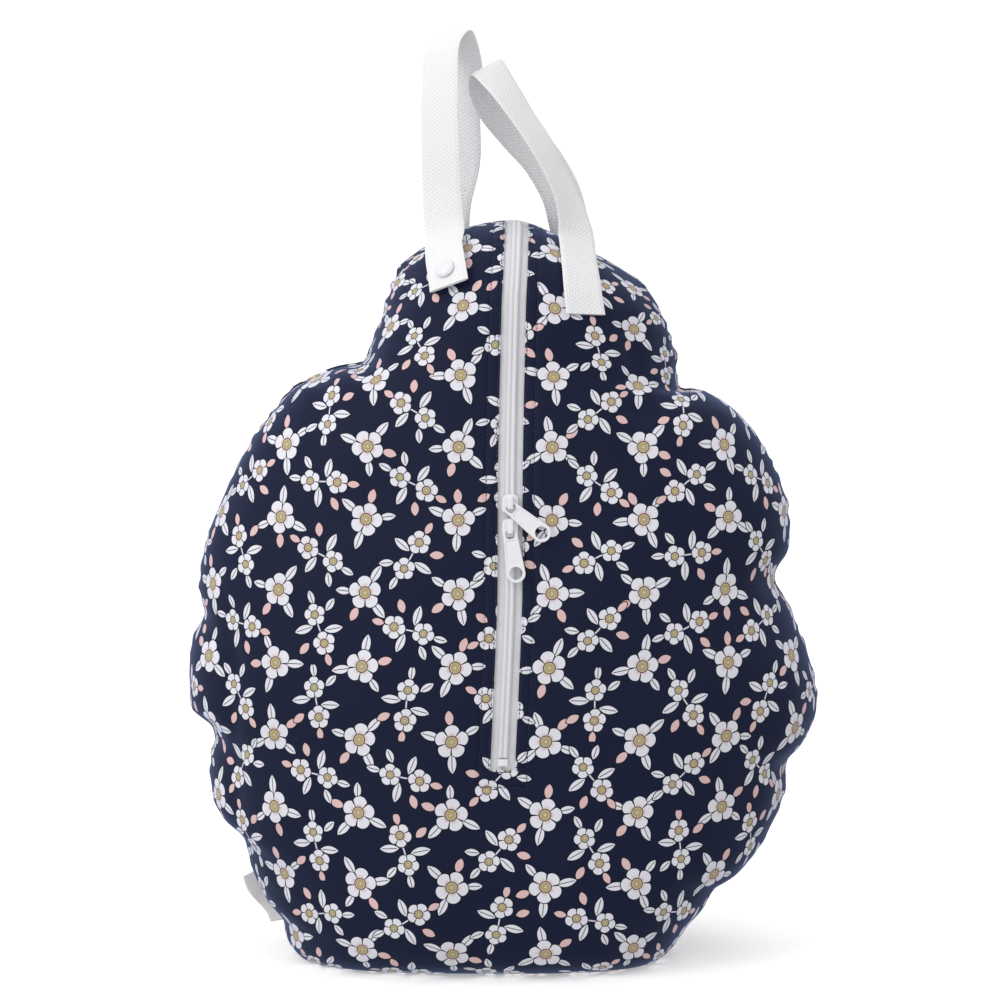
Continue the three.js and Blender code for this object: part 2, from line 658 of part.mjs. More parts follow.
function placedSlider(place, postPlace) {
  return sliderGeometry(postPlace).applyMatrix4(frameMatrix(zipperFrame(place)));
}

function placedPull(place, angle, x, y) {
  const matrix = frameMatrix(zipperFrame(place));
  matrix.multiply(new THREE.Matrix4().makeTranslation(x, y, pullBase));
  matrix.multiply(new THREE.Matrix4().makeRotationZ(radians(angle)));
  return pullGeometry().applyMatrix4(matrix);
}

const upperSlider = placedSlider(upperLeg, postLength / 2 - upperPostBelowLeg);
const lowerSlider = placedSlider(lowerLeg, sliderAboveLeg - joinDepth - postLength / 2);
const upperPullPlace = new THREE.Vector2(upperPullShift, -upperPullReach)
  .rotateAround(new THREE.Vector2(), radians(upperPullAngle));
const upperPull = placedPull(upperLeg, upperPullAngle, upperPullPlace.x, upperPullPlace.y);
const lowerBarPlace = bridgeLegLength / 2 + barDiagonal / 2 + pieceGap;
const lowerPullRise = lowerBarPlace - (pullWindowLength + pullBarWidth) / 2;
const lowerPull = placedPull(lowerLeg, lowerPullAngle, 0, lowerPullRise);

// Handles

function strapFrames(table) {
  const rows = table.map(([where, side, depth, height, yaw, lean]) => {
    const x = bodyWidth * side;
    const z = bodyHeight * height;
    const width = vector(
      Math.cos(radians(yaw)) * Math.cos(radians(lean)),
      Math.sin(radians(yaw)) * Math.cos(radians(lean)),
      Math.sin(radians(lean)),
    );
    if (where === 'free') return { centre: vector(x, bodyDepth * depth, z), width };
    const panel = where === 'front' ? -1 : 1;
    const [u, v] = locate(panel, x, z);
    const normal = normalOf(clothPoint, panel, u, v);
    const centre = clothPoint(panel, u, v).addScaledVector(normal, depth + webbingThickness / 2);
    return { centre, width: width.addScaledVector(normal, -width.dot(normal)) };
  });
  const line = new THREE.CatmullRomCurve3(rows.map((row) => row.centre), false, 'centripetal');
  const count = rows.length - 1;
  const frames = [];
  for (let k = 0; k <= 2 * count; k += 1) {
    const i = Math.min(Math.floor(k / 2), count - 1);
    const along = line.getTangent(k / (2 * count)).normalize();
    const width = rows[i].width.clone().lerp(rows[i + 1].width, k / 2 - i);
    const across = width.addScaledVector(along, -width.dot(along)).normalize();
    const up = along.clone().cross(across).normalize();
    frames.push({ centre: line.getPoint(k / (2 * count)), across, up });
  }
  return frames;
}

function strapGeometry(table) {
  const half = webbingWidth / 2;
  const thick = webbingThickness / 2;
  return sweptGeometry(strapFrames(table), [
    [-half, 0], [-half + webbingEdge, -thick], [half - webbingEdge, -thick],
    [half, 0], [half - webbingEdge, thick], [-half + webbingEdge, thick],
  ]);
}

// Snap: a stud on the bag, a socket under the webbing and a cap over it

function surfaceFrame(side, x, z) {
  const [u, v] = locate(side, x, z);
  const centre = clothPoint(side, u, v);
  const up = normalOf(clothPoint, side, u, v);
  const across = vector(1, 0, 0).addScaledVector(up, -up.x).normalize();
  return { centre, across, along: up.clone().cross(across), up };
}

function turnedPiece(frame, profile, segments = 18) {
  const geometry = new THREE.LatheGeometry(profile.map(([r, h]) => new THREE.Vector2(r, h)), segments);
  geometry.rotateX(Math.PI / 2);
  return geometry.applyMatrix4(frameMatrix(frame));
}

const snapFrame = surfaceFrame(-1, snapSide, snapHeight);
const snapRadius = snapRingDiameter / 2;
const studBase = pieceGap;
const studTop = studBase + snapLayerThickness;
const socketBase = studTop + pieceGap;
const socketTop = socketBase + snapLayerThickness;
const capBase = snapStandOff + webbingThickness + pieceGap;
const snapStud = turnedPiece(snapFrame, [
  [0, studBase], [snapRadius, studBase], [snapRadius, studTop],
  [snapPostDiameter / 2, studTop], [snapPostDiameter / 2, studTop + snapPostHeight],
  [0, studTop + snapPostHeight],
]);
const snapSocket = turnedPiece(snapFrame, [
  [snapPostDiameter / 2 + pieceGap, socketBase], [snapRadius, socketBase], [snapRadius, socketTop],
  [snapPostDiameter / 2 + pieceGap, socketTop], [snapPostDiameter / 2 + pieceGap, socketBase],
]);
const capRadius = snapDiameter / 2;
const capProfile = [[0, capBase], [capRadius, capBase]];
for (let k = 0; k < 5; k += 1) {
  const angle = k * Math.PI / 10;
  const rise = snapRimHeight + (snapDomeHeight - snapRimHeight) * Math.sin(angle);
  capProfile.push([capRadius * Math.cos(angle), capBase + rise]);
}
capProfile.push([0, capBase + snapDomeHeight]);
const snapCap = turnedPiece(snapFrame, capProfile);

// Side label, sewn into the left seam near the base

function labelGeometry() {
  let start = 0;
  while (clothPoint(-1, -1, start).z < labelHeight) start += 0.0005;
  const seam = (v) => clothPoint(-1, -1, v).setY(0);
  const places = [];
  for (let v = start - 0.08; v < start + 0.08; v += 0.0005) {
    const away = seam(v).distanceTo(seam(start)) * Math.sign(v - start);
    if (Math.abs(away) <= labelLength / 2) places.push(v);
  }
  const layer = (y) => [0, 0.5, 1].map((reach) => {
    const line = [];
    for (let k = 0; k <= 6; k += 1) {
      const v = places[Math.round((places.length - 1) * k / 6)];
      const out = normalOf(smoothPoint, -1, -1, v);
      const wave = reach * labelWave * Math.sin(k * 1.7);
      const bend = reach * labelBend * Math.sin(k * 0.9);
      const point = seam(v).addScaledVector(out, pieceGap + (labelReach + wave) * reach);
      line.push(point.setY(y + bend));
    }
    return line;
  });
  return sheetGeometry(layer(-labelThickness / 2), layer(labelThickness / 2), () => true);
}

// The bag

const navy = 0x1e2746;
const webbingWhite = 0xe8e8ea;
const tapeWhite = 0xdcdce0;
const enamelWhite = 0xf0f0f2;

const bag = new THREE.Group();
bag.add(
  pieceMesh('front_panel', frontPanel, navy, 0.8),
  pieceMesh('back_panel', backPanel, navy, 0.8),
  pieceMesh('zipper_tape_left', tapeGeometry(-1), tapeWhite, 0.9),
  pieceMesh('zipper_tape_right', tapeGeometry(1), tapeWhite, 0.9),
  pieceMesh('zipper_coil_upper', upperCoil, enamelWhite, 0.5),
  pieceMesh('zipper_coil_lower', lowerCoil, enamelWhite, 0.5),
  pieceMesh('zipper_bottom_stop', stopBox, enamelWhite, 0.5),
  pieceMesh('slider_upper', upperSlider, enamelWhite, 0.35, 0.1),
  pieceMesh('slider_lower', lowerSlider, enamelWhite, 0.35, 0.1),
  pieceMesh('pull_upper', upperPull, enamelWhite, 0.35, 0.1),
  pieceMesh('pull_lower', lowerPull, enamelWhite, 0.35, 0.1),
  pieceMesh('strap_left', strapGeometry(leftStrapTable), webbingWhite, 0.9),
  pieceMesh('strap_right', strapGeometry(rightStrapTable), webbingWhite, 0.9),
  pieceMesh('snap_cap', snapCap, enamelWhite, 0.4),
  pieceMesh('snap_socket', snapSocket, enamelWhite, 0.4),
  pieceMesh('snap_stud', snapStud, enamelWhite, 0.4),
  pieceMesh('side_label', labelGeometry(), webbingWhite, 0.6),
);

export default bag;
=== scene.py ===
import math

import bmesh
import bpy
import numpy as np
from mathutils import Matrix, Vector


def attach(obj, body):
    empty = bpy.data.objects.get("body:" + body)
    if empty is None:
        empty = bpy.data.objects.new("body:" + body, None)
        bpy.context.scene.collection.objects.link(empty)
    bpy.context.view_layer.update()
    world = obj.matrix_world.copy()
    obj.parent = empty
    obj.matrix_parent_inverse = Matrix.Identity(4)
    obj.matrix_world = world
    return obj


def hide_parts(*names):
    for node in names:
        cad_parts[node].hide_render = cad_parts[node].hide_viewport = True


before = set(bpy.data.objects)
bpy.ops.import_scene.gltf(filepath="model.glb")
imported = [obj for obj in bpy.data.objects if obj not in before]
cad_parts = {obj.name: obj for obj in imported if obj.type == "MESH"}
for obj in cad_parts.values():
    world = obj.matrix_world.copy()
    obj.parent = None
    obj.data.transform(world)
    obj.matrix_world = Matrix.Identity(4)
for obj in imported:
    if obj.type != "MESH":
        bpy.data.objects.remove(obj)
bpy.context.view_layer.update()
rng = np.random.default_rng(7)
seatGap = 0.0003     # between pieces that meet


# Camera, at the photograph's height and distance

camera = {"distance": 1.7, "elevation": 4.0, "height": 0.404, "lens": 97.1, "sensor": 36.0}

cameraData = bpy.data.cameras.new("camera")
cameraData.lens = camera["lens"]
cameraData.sensor_width = camera["sensor"]
cameraObject = bpy.data.objects.new("camera", cameraData)
bpy.context.collection.objects.link(cameraObject)
tilt = math.radians(camera["elevation"])
cameraObject.location = (0, -camera["distance"] * math.cos(tilt), camera["height"])
cameraObject.rotation_euler = (math.pi / 2 - tilt, 0, 0)
bpy.context.scene.camera = cameraObject
print("camera ready")


# Body surface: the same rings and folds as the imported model's, in metres

bagBody = {
    "height": 0.461,
    "width": 0.4,
    "depth": 0.204,
    "seamGap": 0.0003,
    "leftDropPower": 2.2,
    "rightDropPower": 1.3,
    "floorFade": 0.025,
    # height, middle, left, right, front, back, round, left drop, right drop, as shares
    "rings": [
        [0, 0.005, 0.295, 0.23, 0, 0, 2.6, 0, 0],
        [0, 0.0055, 0.3205, 0.2495, 0.3382, 0.3039, 3, 0, 0],
        [0.0152, 0.006, 0.3385, 0.269, 0.4216, 0.3873, 2.8, 0, 0],
        [0.0477, 0.0063, 0.3588, 0.2963, 0.4706, 0.4412, 2.6, 0, 0],
        [0.0976, 0.0058, 0.3883, 0.3567, 0.5, 0.4755, 2.4, 0, 0],
        [0.1562, 0.0052, 0.4226, 0.4149, 0.5147, 0.4951, 2.3, 0, 0],
        [0.2191, 0.0045, 0.4595, 0.448, 0.5196, 0.5, 2.25, 0, 0],
        [0.2852, 0.0043, 0.4668, 0.4757, 0.5196, 0.5, 2.25, 0, 0],
        [0.3427, 0.0068, 0.4968, 0.4932, 0.5196, 0.5, 2.2, 0, 0],
        [0.3991, 0.0098, 0.4998, 0.4802, 0.5147, 0.4951, 2.2, 0, 0],
        [0.4577, 0.0126, 0.4926, 0.4524, 0.5049, 0.4853, 2.2, 0, 0],
        [0.5163, 0.0147, 0.4872, 0.4328, 0.4902, 0.473, 2.2, 0, 0],
        [0.5662, 0.015, 0.4775, 0.4412, 0.473, 0.4559, 2.2, 0, 0],
        [0.6139, 0.0152, 0.4552, 0.4373, 0.4534, 0.4387, 2.2, 0, 0],
        [0.6594, 0.0153, 0.4303, 0.4184, 0.4338, 0.4216, 2.2, 0, 0],
        [0.7007, 0.016, 0.406, 0.394, 0.4142, 0.4044, 2.2, 0, 0],
        [0.7375, 0.0168, 0.3767, 0.3583, 0.3946, 0.3873, 2.2, 0, 0],
        [0.7701, 0.0175, 0.345, 0.31, 0.3799, 0.3701, 2.2, 0, 0.0043],
        [0.8004, 0.0185, 0.301, 0.274, 0.3676, 0.3554, 2.2, 0.0087, 0.0239],
        [0.8286, 0.0192, 0.2617, 0.2632, 0.3603, 0.348, 2.15, 0.0217, 0.0347],
        [0.859, 0.02, 0.235, 0.2562, 0.3529, 0.3382, 2.1, 0.0347, 0.0434],
        [0.8915, 0.021, 0.2185, 0.2465, 0.3382, 0.3235, 2.1, 0.0456, 0.0499],
        [0.9219, 0.023, 0.2092, 0.2358, 0.3088, 0.2966, 2.05, 0.0521, 0.0586],
        [0.9501, 0.0244, 0.2019, 0.2244, 0.2647, 0.2549, 2, 0.0564, 0.0694],
        [0.9718, 0.0254, 0.1954, 0.2146, 0.2108, 0.2034, 2, 0.0607, 0.0781],
        [0.9881, 0.0262, 0.19, 0.2063, 0.1422, 0.1373, 2, 0.0618, 0.0835],
        [0.997, 0.0266, 0.1853, 0.2009, 0.0711, 0.0686, 2, 0.061, 0.0848],
        [1, 0.0266, 0.1816, 0.1959, 0, 0, 2, 0.0586, 0.0824],
    ],
    # panels, side, height, end side, end height, depth, spread, fading, as shares
    "folds": [
        ["both", -0.465, 0.306, -0.4, 0.265, 0.0343, 0.0275, 1],
        ["both", -0.48, 0.469, -0.415, 0.434, 0.0245, 0.025, 1],
        ["front", -0.415, 0.482, -0.41, 0.217, 0.0172, 0.025, 0],
        ["both", -0.415, 0.158, -0.24, 0.095, 0.0245, 0.025, 1],
        ["both", -0.35, 0.048, -0.25, 0.013, 0.0172, 0.0225, 1],
        ["both", 0.45, 0.516, 0.375, 0.527, 0.0294, 0.0275, 1],
        ["both", 0.46, 0.26, 0.38, 0.278, 0.0343, 0.0275, 1],
        ["both", 0.343, 0.087, 0.26, 0.121, 0.0221, 0.025, 1],
        ["front", 0.2, 0.85, 0.215, 0.651, 0.0196, 0.025, 1],
        ["front", 0.26, 0.816, 0.245, 0.764, 0.0245, 0.0375, 0],
        ["front", -0.28, 0.794, -0.275, 0.707, 0.0245, 0.025, 1],
        ["both", -0.225, 0.82, -0.155, 0.764, 0.0245, 0.0225, 1],
        ["front", -0.22, 0.824, -0.195, 0.733, 0.0147, 0.0225, 1],
        ["both", 0.285, 0.781, 0.24, 0.759, 0.0196, 0.0225, 1],
        ["front", 0.15, 0.466, 0.375, 0.434, -0.0098, 0.055, 0],
        ["back", -0.225, 0.781, -0.21, 0.629, 0.0245, 0.03, 1],
        ["back", 0.175, 0.835, 0.15, 0.672, 0.0196, 0.03, 1],
        ["back", 0.025, 0.499, -0.15, 0.325, -0.0147, 0.075, 0],
    ],
    # the same, for creases too small for the solids
    "creases": [
        ["front", -0.415, 0.482, -0.405, 0.217, 0.008, 0.011, 0],
        ["front", -0.385, 0.3, -0.3, 0.272, 0.011, 0.012, 1],
        ["front", -0.41, 0.2, -0.28, 0.175, 0.011, 0.012, 1],
        ["front", -0.405, 0.42, -0.32, 0.36, 0.009, 0.013, 1],
        ["front", -0.37, 0.11, -0.22, 0.055, 0.011, 0.011, 1],
        ["front", -0.33, 0.06, -0.2, 0.03, 0.009, 0.01, 1],
        ["front", 0.2, 0.85, 0.215, 0.651, 0.009, 0.011, 1],
        ["front", 0.195, 0.75, 0.225, 0.74, 0.008, 0.012, 0],
        ["front", -0.28, 0.794, -0.275, 0.707, 0.012, 0.011, 1],
        ["front", -0.215, 0.825, -0.12, 0.79, 0.01, 0.012, 1],
        ["front", -0.215, 0.815, -0.14, 0.74, 0.009, 0.011, 1],
        ["front", -0.23, 0.81, -0.18, 0.72, 0.009, 0.011, 1],
        ["front", 0.28, 0.785, 0.21, 0.77, 0.009, 0.011, 1],
        ["front", 0.43, 0.262, 0.33, 0.285, 0.01, 0.011, 1],
        ["front", 0.42, 0.52, 0.33, 0.515, 0.009, 0.012, 1],
        ["front", 0.32, 0.1, 0.22, 0.13, 0.009, 0.011, 1],
        ["back", -0.39, 0.31, -0.28, 0.29, 0.011, 0.013, 1],
        ["back", 0.4, 0.27, 0.3, 0.3, 0.011, 0.013, 1],
        ["back", 0.16, 0.84, 0.14, 0.7, 0.011, 0.013, 1],
        ["back", -0.2, 0.8, -0.16, 0.68, 0.011, 0.013, 1],
        ["back", 0.05, 0.3, -0.12, 0.2, 0.006, 0.02, 0],
    ],
}

rings = np.array(bagBody["rings"])
ringSteps = np.hypot(bagBody["height"] * np.diff(rings[:, 0]), bagBody["depth"] * np.diff(rings[:, 4]))
frontLength = float(ringSteps.sum())
ringPlaces = np.concatenate([[0], np.cumsum(ringSteps)]) / frontLength


def columnSlopes(places, values):
    steps = np.diff(values) / np.diff(places)
    slopes = np.zeros(len(values))
    slopes[0], slopes[-1] = steps[0], steps[-1]
    for i in range(1, len(values) - 1):
        if steps[i - 1] * steps[i] > 0:
            slopes[i] = 2 * steps[i - 1] * steps[i] / (steps[i - 1] + steps[i])
    return slopes


ringSlopes = np.stack([columnSlopes(ringPlaces, rings[:, c]) for c in range(rings.shape[1])], axis=1)


def ringAt(v):
    v = np.asarray(v, float)
    i = np.clip(np.searchsorted(ringPlaces, v, side="left") - 1, 0, len(ringPlaces) - 2)
    span = ringPlaces[i + 1] - ringPlaces[i]
    t = np.clip((v - ringPlaces[i]) / span, 0, 1)
    keep = (1 + 2 * t) * (1 - t) ** 2
    leave, arrive = t * (1 - t) ** 2, t * t * (t - 1)
    return [
        rings[i, c] * keep + rings[i + 1, c] * (1 - keep)
        + span * (ringSlopes[i, c] * leave + ringSlopes[i + 1, c] * arrive)
        for c in range(rings.shape[1])
    ]


# side is -1 in front and 1 behind, u runs from the left seam (-1) to the right one (1),
# v from the base seam (0) to the top seam (1)
def smoothPoint(side, u, v):
    u, v = np.broadcast_arrays(np.asarray(u, float), np.asarray(v, float))
    height, middle, left, right, front, back, power, leftDrop, rightDrop = ringAt(v)
    lateral = np.sin(np.pi * u / 2)
    reach = np.minimum(np.abs(lateral), 1)
    swell = (1 - reach ** power) ** (1 / power)
    drop = np.where(u < 0, leftDrop * reach ** bagBody["leftDropPower"],
                    rightDrop * reach ** bagBody["rightDropPower"])
    return np.stack([
        bagBody["width"] * (middle + np.where(u < 0, left, right) * lateral),
        side * (bagBody["seamGap"] / 2 + bagBody["depth"] * (front if side < 0 else back) * swell),
        bagBody["height"] * (height - drop),
    ], axis=-1)


def normalOf(surface, side, u, v, step=0.002):
    across = surface(side, np.minimum(u + step, 1), v) - surface(side, np.maximum(u - step, -1), v)
    along = surface(side, u, np.minimum(v + step, 1)) - surface(side, u, np.maximum(v - step, 0))
    normal = -side * np.cross(across, along)
    atSeam = (np.abs(u) == 1) | (v == 0) | (v == 1)
    normal[..., 1] = np.where(atSeam, 0, normal[..., 1])
    return normal / np.linalg.norm(normal, axis=-1, keepdims=True)


def smoothStep(value, low, high):
    t = np.clip((value - low) / (high - low), 0, 1)
    return t * t * (3 - 2 * t)


def foldDepth(table, side, x, z, swell):
    depth = np.zeros_like(x)
    for panels, x0, z0, x1, z1, share, spread, fading in table:
        if panels != "both" and (panels == "front") != (side < 0):
            continue
        startX, startZ = bagBody["width"] * x0, bagBody["height"] * z0
        lineX, lineZ = bagBody["width"] * x1 - startX, bagBody["height"] * z1 - startZ
        t = np.clip(((x - startX) * lineX + (z - startZ) * lineZ) / (lineX ** 2 + lineZ ** 2), 0, 1)
        away = np.hypot(x - startX - t * lineX, z - startZ - t * lineZ) / (bagBody["width"] * spread)
        strength = (1 - t if fading else 1) * (1 if panels == "both" else swell)
        depth += bagBody["depth"] * share * strength * np.exp(-away ** 2)
    return depth * smoothStep(z, 0, bagBody["floorFade"])


def clothPoint(side, u, v):
    u, v = np.broadcast_arrays(np.asarray(u, float), np.asarray(v, float))
    point = smoothPoint(side, u, v)
    normal = normalOf(smoothPoint, side, u, v)
    swell = np.cos(np.pi * u / 2)
    return point - normal * foldDepth(bagBody["folds"], side, point[..., 0], point[..., 2], swell)[..., None]


def clothNormal(side, u, v):
    return normalOf(clothPoint, side, np.asarray(u, float), np.asarray(v, float))


def besideLine(v, offset):
    ring = ringAt(v)
    half = bagBody["width"] * np.where(np.asarray(offset) < 0, ring[2], ring[3])
    return np.arcsin(np.clip(offset / half, -1, 1)) * 2 / np.pi


def locate(side, x, z):
    u, v = 0.0, 0.05
    while v < 0.98 and clothPoint(side, 0, v)[2] < z:
        v += 0.01
    for _ in range(20):
        here = clothPoint(side, u, v)
        across = (clothPoint(side, u + 0.001, v) - here) / 0.001
        along = (clothPoint(side, u, v + 0.001) - here) / 0.001
        missX, missZ = x - here[0], z - here[2]
        scale = across[0] * along[2] - across[2] * along[0]
        u = min(max(u + 0.7 * (missX * along[2] - missZ * along[0]) / scale, -0.98), 0.98)
        v = min(max(v + 0.7 * (missZ * across[0] - missX * across[2]) / scale, 0.01), 0.995)
    return u, v


def placeAtHeight(height):
    low, high = 0.2, 1.0
    for _ in range(40):
        middle = (low + high) / 2
        low, high = (middle, high) if clothPoint(-1, 0, middle)[2] < height else (low, middle)
    return low


# Smooth random swelling, the same on every run
noiseGrid = rng.uniform(-1, 1, (32, 32, 32))


def smoothNoise(points, size, shift=0.0):
    q = points / size + shift + 100
    i = np.floor(q).astype(int)
    t = q - i
    t = t * t * (3 - 2 * t)
    total = np.zeros(points.shape[:-1])
    for dx in (0, 1):
        for dy in (0, 1):
            for dz in (0, 1):
                weight = (np.where(dx, t[..., 0], 1 - t[..., 0]) * np.where(dy, t[..., 1], 1 - t[..., 1])
                          * np.where(dz, t[..., 2], 1 - t[..., 2]))
                cell = (i + (dx, dy, dz)) % 32
                total += weight * noiseGrid[cell[..., 0], cell[..., 1], cell[..., 2]]
    return total


# Helpers for meshes and pieces

def newMesh(name, points, faces, uvs=None, smooth=True):
    mesh = bpy.data.meshes.new(name)
    mesh.from_pydata([tuple(p) for p in points], [], [tuple(f) for f in faces])
    mesh.validate()
    mesh.polygons.foreach_set("use_smooth", [smooth] * len(mesh.polygons))
    if uvs is not None:
        layer = mesh.uv_layers.new(name="clothLength")
        corner = np.empty(len(mesh.loops), int)
        mesh.loops.foreach_get("vertex_index", corner)
        layer.data.foreach_set("uv", np.asarray(uvs)[corner].ravel())
    mesh.update()
    obj = bpy.data.objects.new(name, mesh)
    bpy.context.collection.objects.link(obj)
    return obj


def addPiece(obj, body, slotName, material, *nodes):
    obj.data.materials.clear()
    obj.data.materials.append(material)
    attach(obj, body)
    if nodes:
        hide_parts(*nodes)
    return obj


def joinMeshes(name, objects):
    points, faces, uvs, start = [], [], [], 0
    for obj in objects:
        mesh = obj.data
        points += [obj.matrix_world @ v.co for v in mesh.vertices]
        faces += [[start + i for i in p.vertices] for p in mesh.polygons]
        start += len(mesh.vertices)
        bpy.data.objects.remove(obj)
    return newMesh(name, points, faces)


def faceOutwards(obj):
    mesh = obj.data
    co = np.empty(len(mesh.vertices) * 3)
    mesh.vertices.foreach_get("co", co)
    co = co.reshape(-1, 3)
    mesh.calc_loop_triangles()
    tri = np.empty(len(mesh.loop_triangles) * 3, int)
    mesh.loop_triangles.foreach_get("vertices", tri)
    a, b, c = (co[tri.reshape(-1, 3)[:, k]] for k in range(3))
    if np.einsum("ij,ij->i", a, np.cross(b, c)).sum() < 0:
        mesh.flip_normals()
    return obj


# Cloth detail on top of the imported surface

clothDetail = {
    "thickness": 0.0015,
    "slitHalfWidth": 0.0074,
    "slitEndRing": 7,
    "topStitch": 0.0069,        # from the slit's folded edge
    "boxStitchBelow": 0.0105,   # from the slit's end down to the cross line
    "foldStitch": 0.0011,
    "grooveDepth": 0.0008,
    "foldGroove": 0.0004,
    "grooveWidth": 0.00075,
    "seamTuck": 0.0016,
    "seamTuckWidth": 0.0013,
    "gather": 0.0011,
    "gatherPitch": 0.0135,
    "gatherReach": 0.017,
    "swelling": 0.0024,
    "rumple": 0.0011,
    "rows": 214,
    "columns": 62,
}
slitEnd = float(ringPlaces[clothDetail["slitEndRing"]])
seamPlaces = np.linspace(0, 1, 400)
seamPoints = smoothPoint(-1, np.ones(400), seamPlaces)
seamLength = np.concatenate([[0], np.cumsum(np.linalg.norm(np.diff(seamPoints, axis=0), axis=1))])


def slitDistance(offset, v):
    below = np.maximum(0, (slitEnd - v) * frontLength)
    beside = np.maximum(0, np.abs(offset) - clothDetail["slitHalfWidth"])
    inside = np.where((below == 0) & (beside == 0), -1, 1)
    return inside * np.hypot(beside, below), beside, below


def clothRelief(side, u, v, point, seamAway, offset):
    d = clothDetail
    x, z = point[..., 0], point[..., 2]
    swell = np.cos(np.pi * u / 2)
    calm = 1 - np.exp(-(offset / 0.03) ** 2) * (side < 0)
    atStraps = smoothStep(z, 0.375, 0.4) * (1 - smoothStep(np.abs(x - 0.005), 0.07, 0.085))
    floor = smoothStep(z, 0.002, 0.03)
    out = d["swelling"] * smoothNoise(point * [1, 1, 0.75], 0.055, side * 3.1)
    out += d["rumple"] * smoothNoise(point * [1, 1, 0.6], 0.024, side * 7.7)
    out *= calm * (1 - atStraps) * floor * (0.35 + 0.65 * swell)
    along = np.interp(v, seamPlaces, seamLength) / d["gatherPitch"]
    wander = 1.7 * np.sin(along * 0.9 + np.sign(u)) + 1.1 * np.sin(along * 2.3 + 2 * np.sign(u))
    strength = 0.55 + 0.45 * np.sin(along * 0.77 + 1.3 * np.sign(u))
    gathers = d["gather"] * strength * np.sin(2 * np.pi * along + wander)
    out += gathers * np.exp(-seamAway / d["gatherReach"]) * floor * (1 - smoothStep(z, 0.42, 0.45))
    out -= foldDepth(bagBody["creases"], side, x, z, swell) * (1 - atStraps)
    out -= d["seamTuck"] * np.exp(-(seamAway / d["seamTuckWidth"]) ** 2)
    if side < 0:
        away, beside, below = slitDistance(offset, v)
        deep, wide = d["grooveDepth"], d["grooveWidth"]
        sideLine = np.exp(-((beside - d["topStitch"]) / wide) ** 2) * (below < d["boxStitchBelow"])
        crossLine = np.exp(-((below - d["boxStitchBelow"]) / wide) ** 2) * (beside < d["topStitch"])
        foldLine = np.exp(-((away - d["foldStitch"]) / (0.7 * wide)) ** 2)
        pucker = 0.00022 * np.sin(2 * np.pi * v * frontLength / 0.0093) * np.exp(-(away / 0.008) ** 2)
        out -= deep * np.maximum(sideLine, crossLine) + d["foldGroove"] * foldLine + pucker * (away > 0)
    return out


def gridNormals(grid, side):
    across = np.gradient(grid, axis=1)
    along = np.gradient(grid, axis=0)
    normal = -side * np.cross(across, along)
    normal[0, :, 1] = normal[-1, :, 1] = normal[:, 0, 1] = normal[:, -1, 1] = 0
    length = np.linalg.norm(normal, axis=-1, keepdims=True)
    return normal / np.maximum(length, 1e-12)


def panelPlaces(side):
    d = clothDetail
    fromSlitEnd = [0, 0.3, 0.8, 1.6, 2.6, -0.35, -0.7, -1.1, -1.6, -2.4, -9.4, -10, -10.5, -11, -11.6]
    lineRows = [slitEnd + s for s in np.array(fromSlitEnd) / 1000 / frontLength]
    edges = np.array([0.7, 1.5, 2.6, 4.2]) / 1000 / frontLength
    v = np.unique(np.round(np.concatenate(
        [np.linspace(0, 1, d["rows"]), lineRows if side < 0 else [], edges, 1 - edges]), 6))
    keep = np.concatenate([[True], np.diff(v) > 0.0003])
    keep[-1] = True
    v = v[keep]
    fromSlitEdge = [0, 0.2, 0.5, 0.8, 1.1, 1.45, 1.9, 3, 4.4, 5.6, 6.3, 6.9, 7.5, 8.3, 10, 12.5, 15.5]
    nearSlit = np.array(fromSlitEdge) / 1000
    seam = np.array([0.0013, 0.0032, 0.0065, 0.0115, 0.018])
    grids = []
    for hand in (-1, 1):
        near = besideLine(v[:, None], hand * (d["slitHalfWidth"] + nearSlit[None, :]))
        share = np.linspace(0, 1, d["columns"])[1:]
        far = near[:, -1:] + (hand * (1 - 0.025) - near[:, -1:]) * share[None, :]
        last = np.broadcast_to(hand * (1 - np.concatenate([seam[::-1], [0]])), (len(v), 6))
        row = np.concatenate([near, far, last], axis=1)
        grids.append(row[:, ::-1] if hand < 0 else row)
    middle = besideLine(v[:, None], np.linspace(-1, 1, 7)[None, 1:-1] * d["slitHalfWidth"])
    return np.concatenate([grids[0], middle, grids[1]], axis=1), v, grids[0].shape[1]


def shellMesh(name, outer, inner, filled, uvs):
    rows, columns = outer.shape[:2]
    index = np.arange(rows * columns).reshape(rows, columns)
    points = np.concatenate([outer.reshape(-1, 3), inner.reshape(-1, 3)])
    lift = rows * columns
    cell = np.zeros((rows + 1, columns + 1), bool)
    cell[1:-1, 1:-1] = filled
    a, b, c, e = index[:-1, :-1], index[:-1, 1:], index[1:, 1:], index[1:, :-1]
    full = filled
    faces = [np.stack([a[full], b[full], c[full], e[full]], 1),
             np.stack([a[full], e[full], c[full], b[full]], 1) + lift]
    edges = ((a, b, cell[:-2, 1:-1]), (b, c, cell[1:-1, 2:]),
             (c, e, cell[2:, 1:-1]), (e, a, cell[1:-1, :-2]))
    for p, q, beyond in edges:
        rim = full & ~beyond
        faces.append(np.stack([q[rim], p[rim], p[rim] + lift, q[rim] + lift], 1))
    faces = np.concatenate(faces)
    used = np.unique(faces)
    renumber = np.zeros(len(points), int)
    renumber[used] = np.arange(len(used))
    layers = np.concatenate([uvs.reshape(-1, 2)] * 2)[used]
    return faceOutwards(newMesh(name, points[used], renumber[faces], layers))


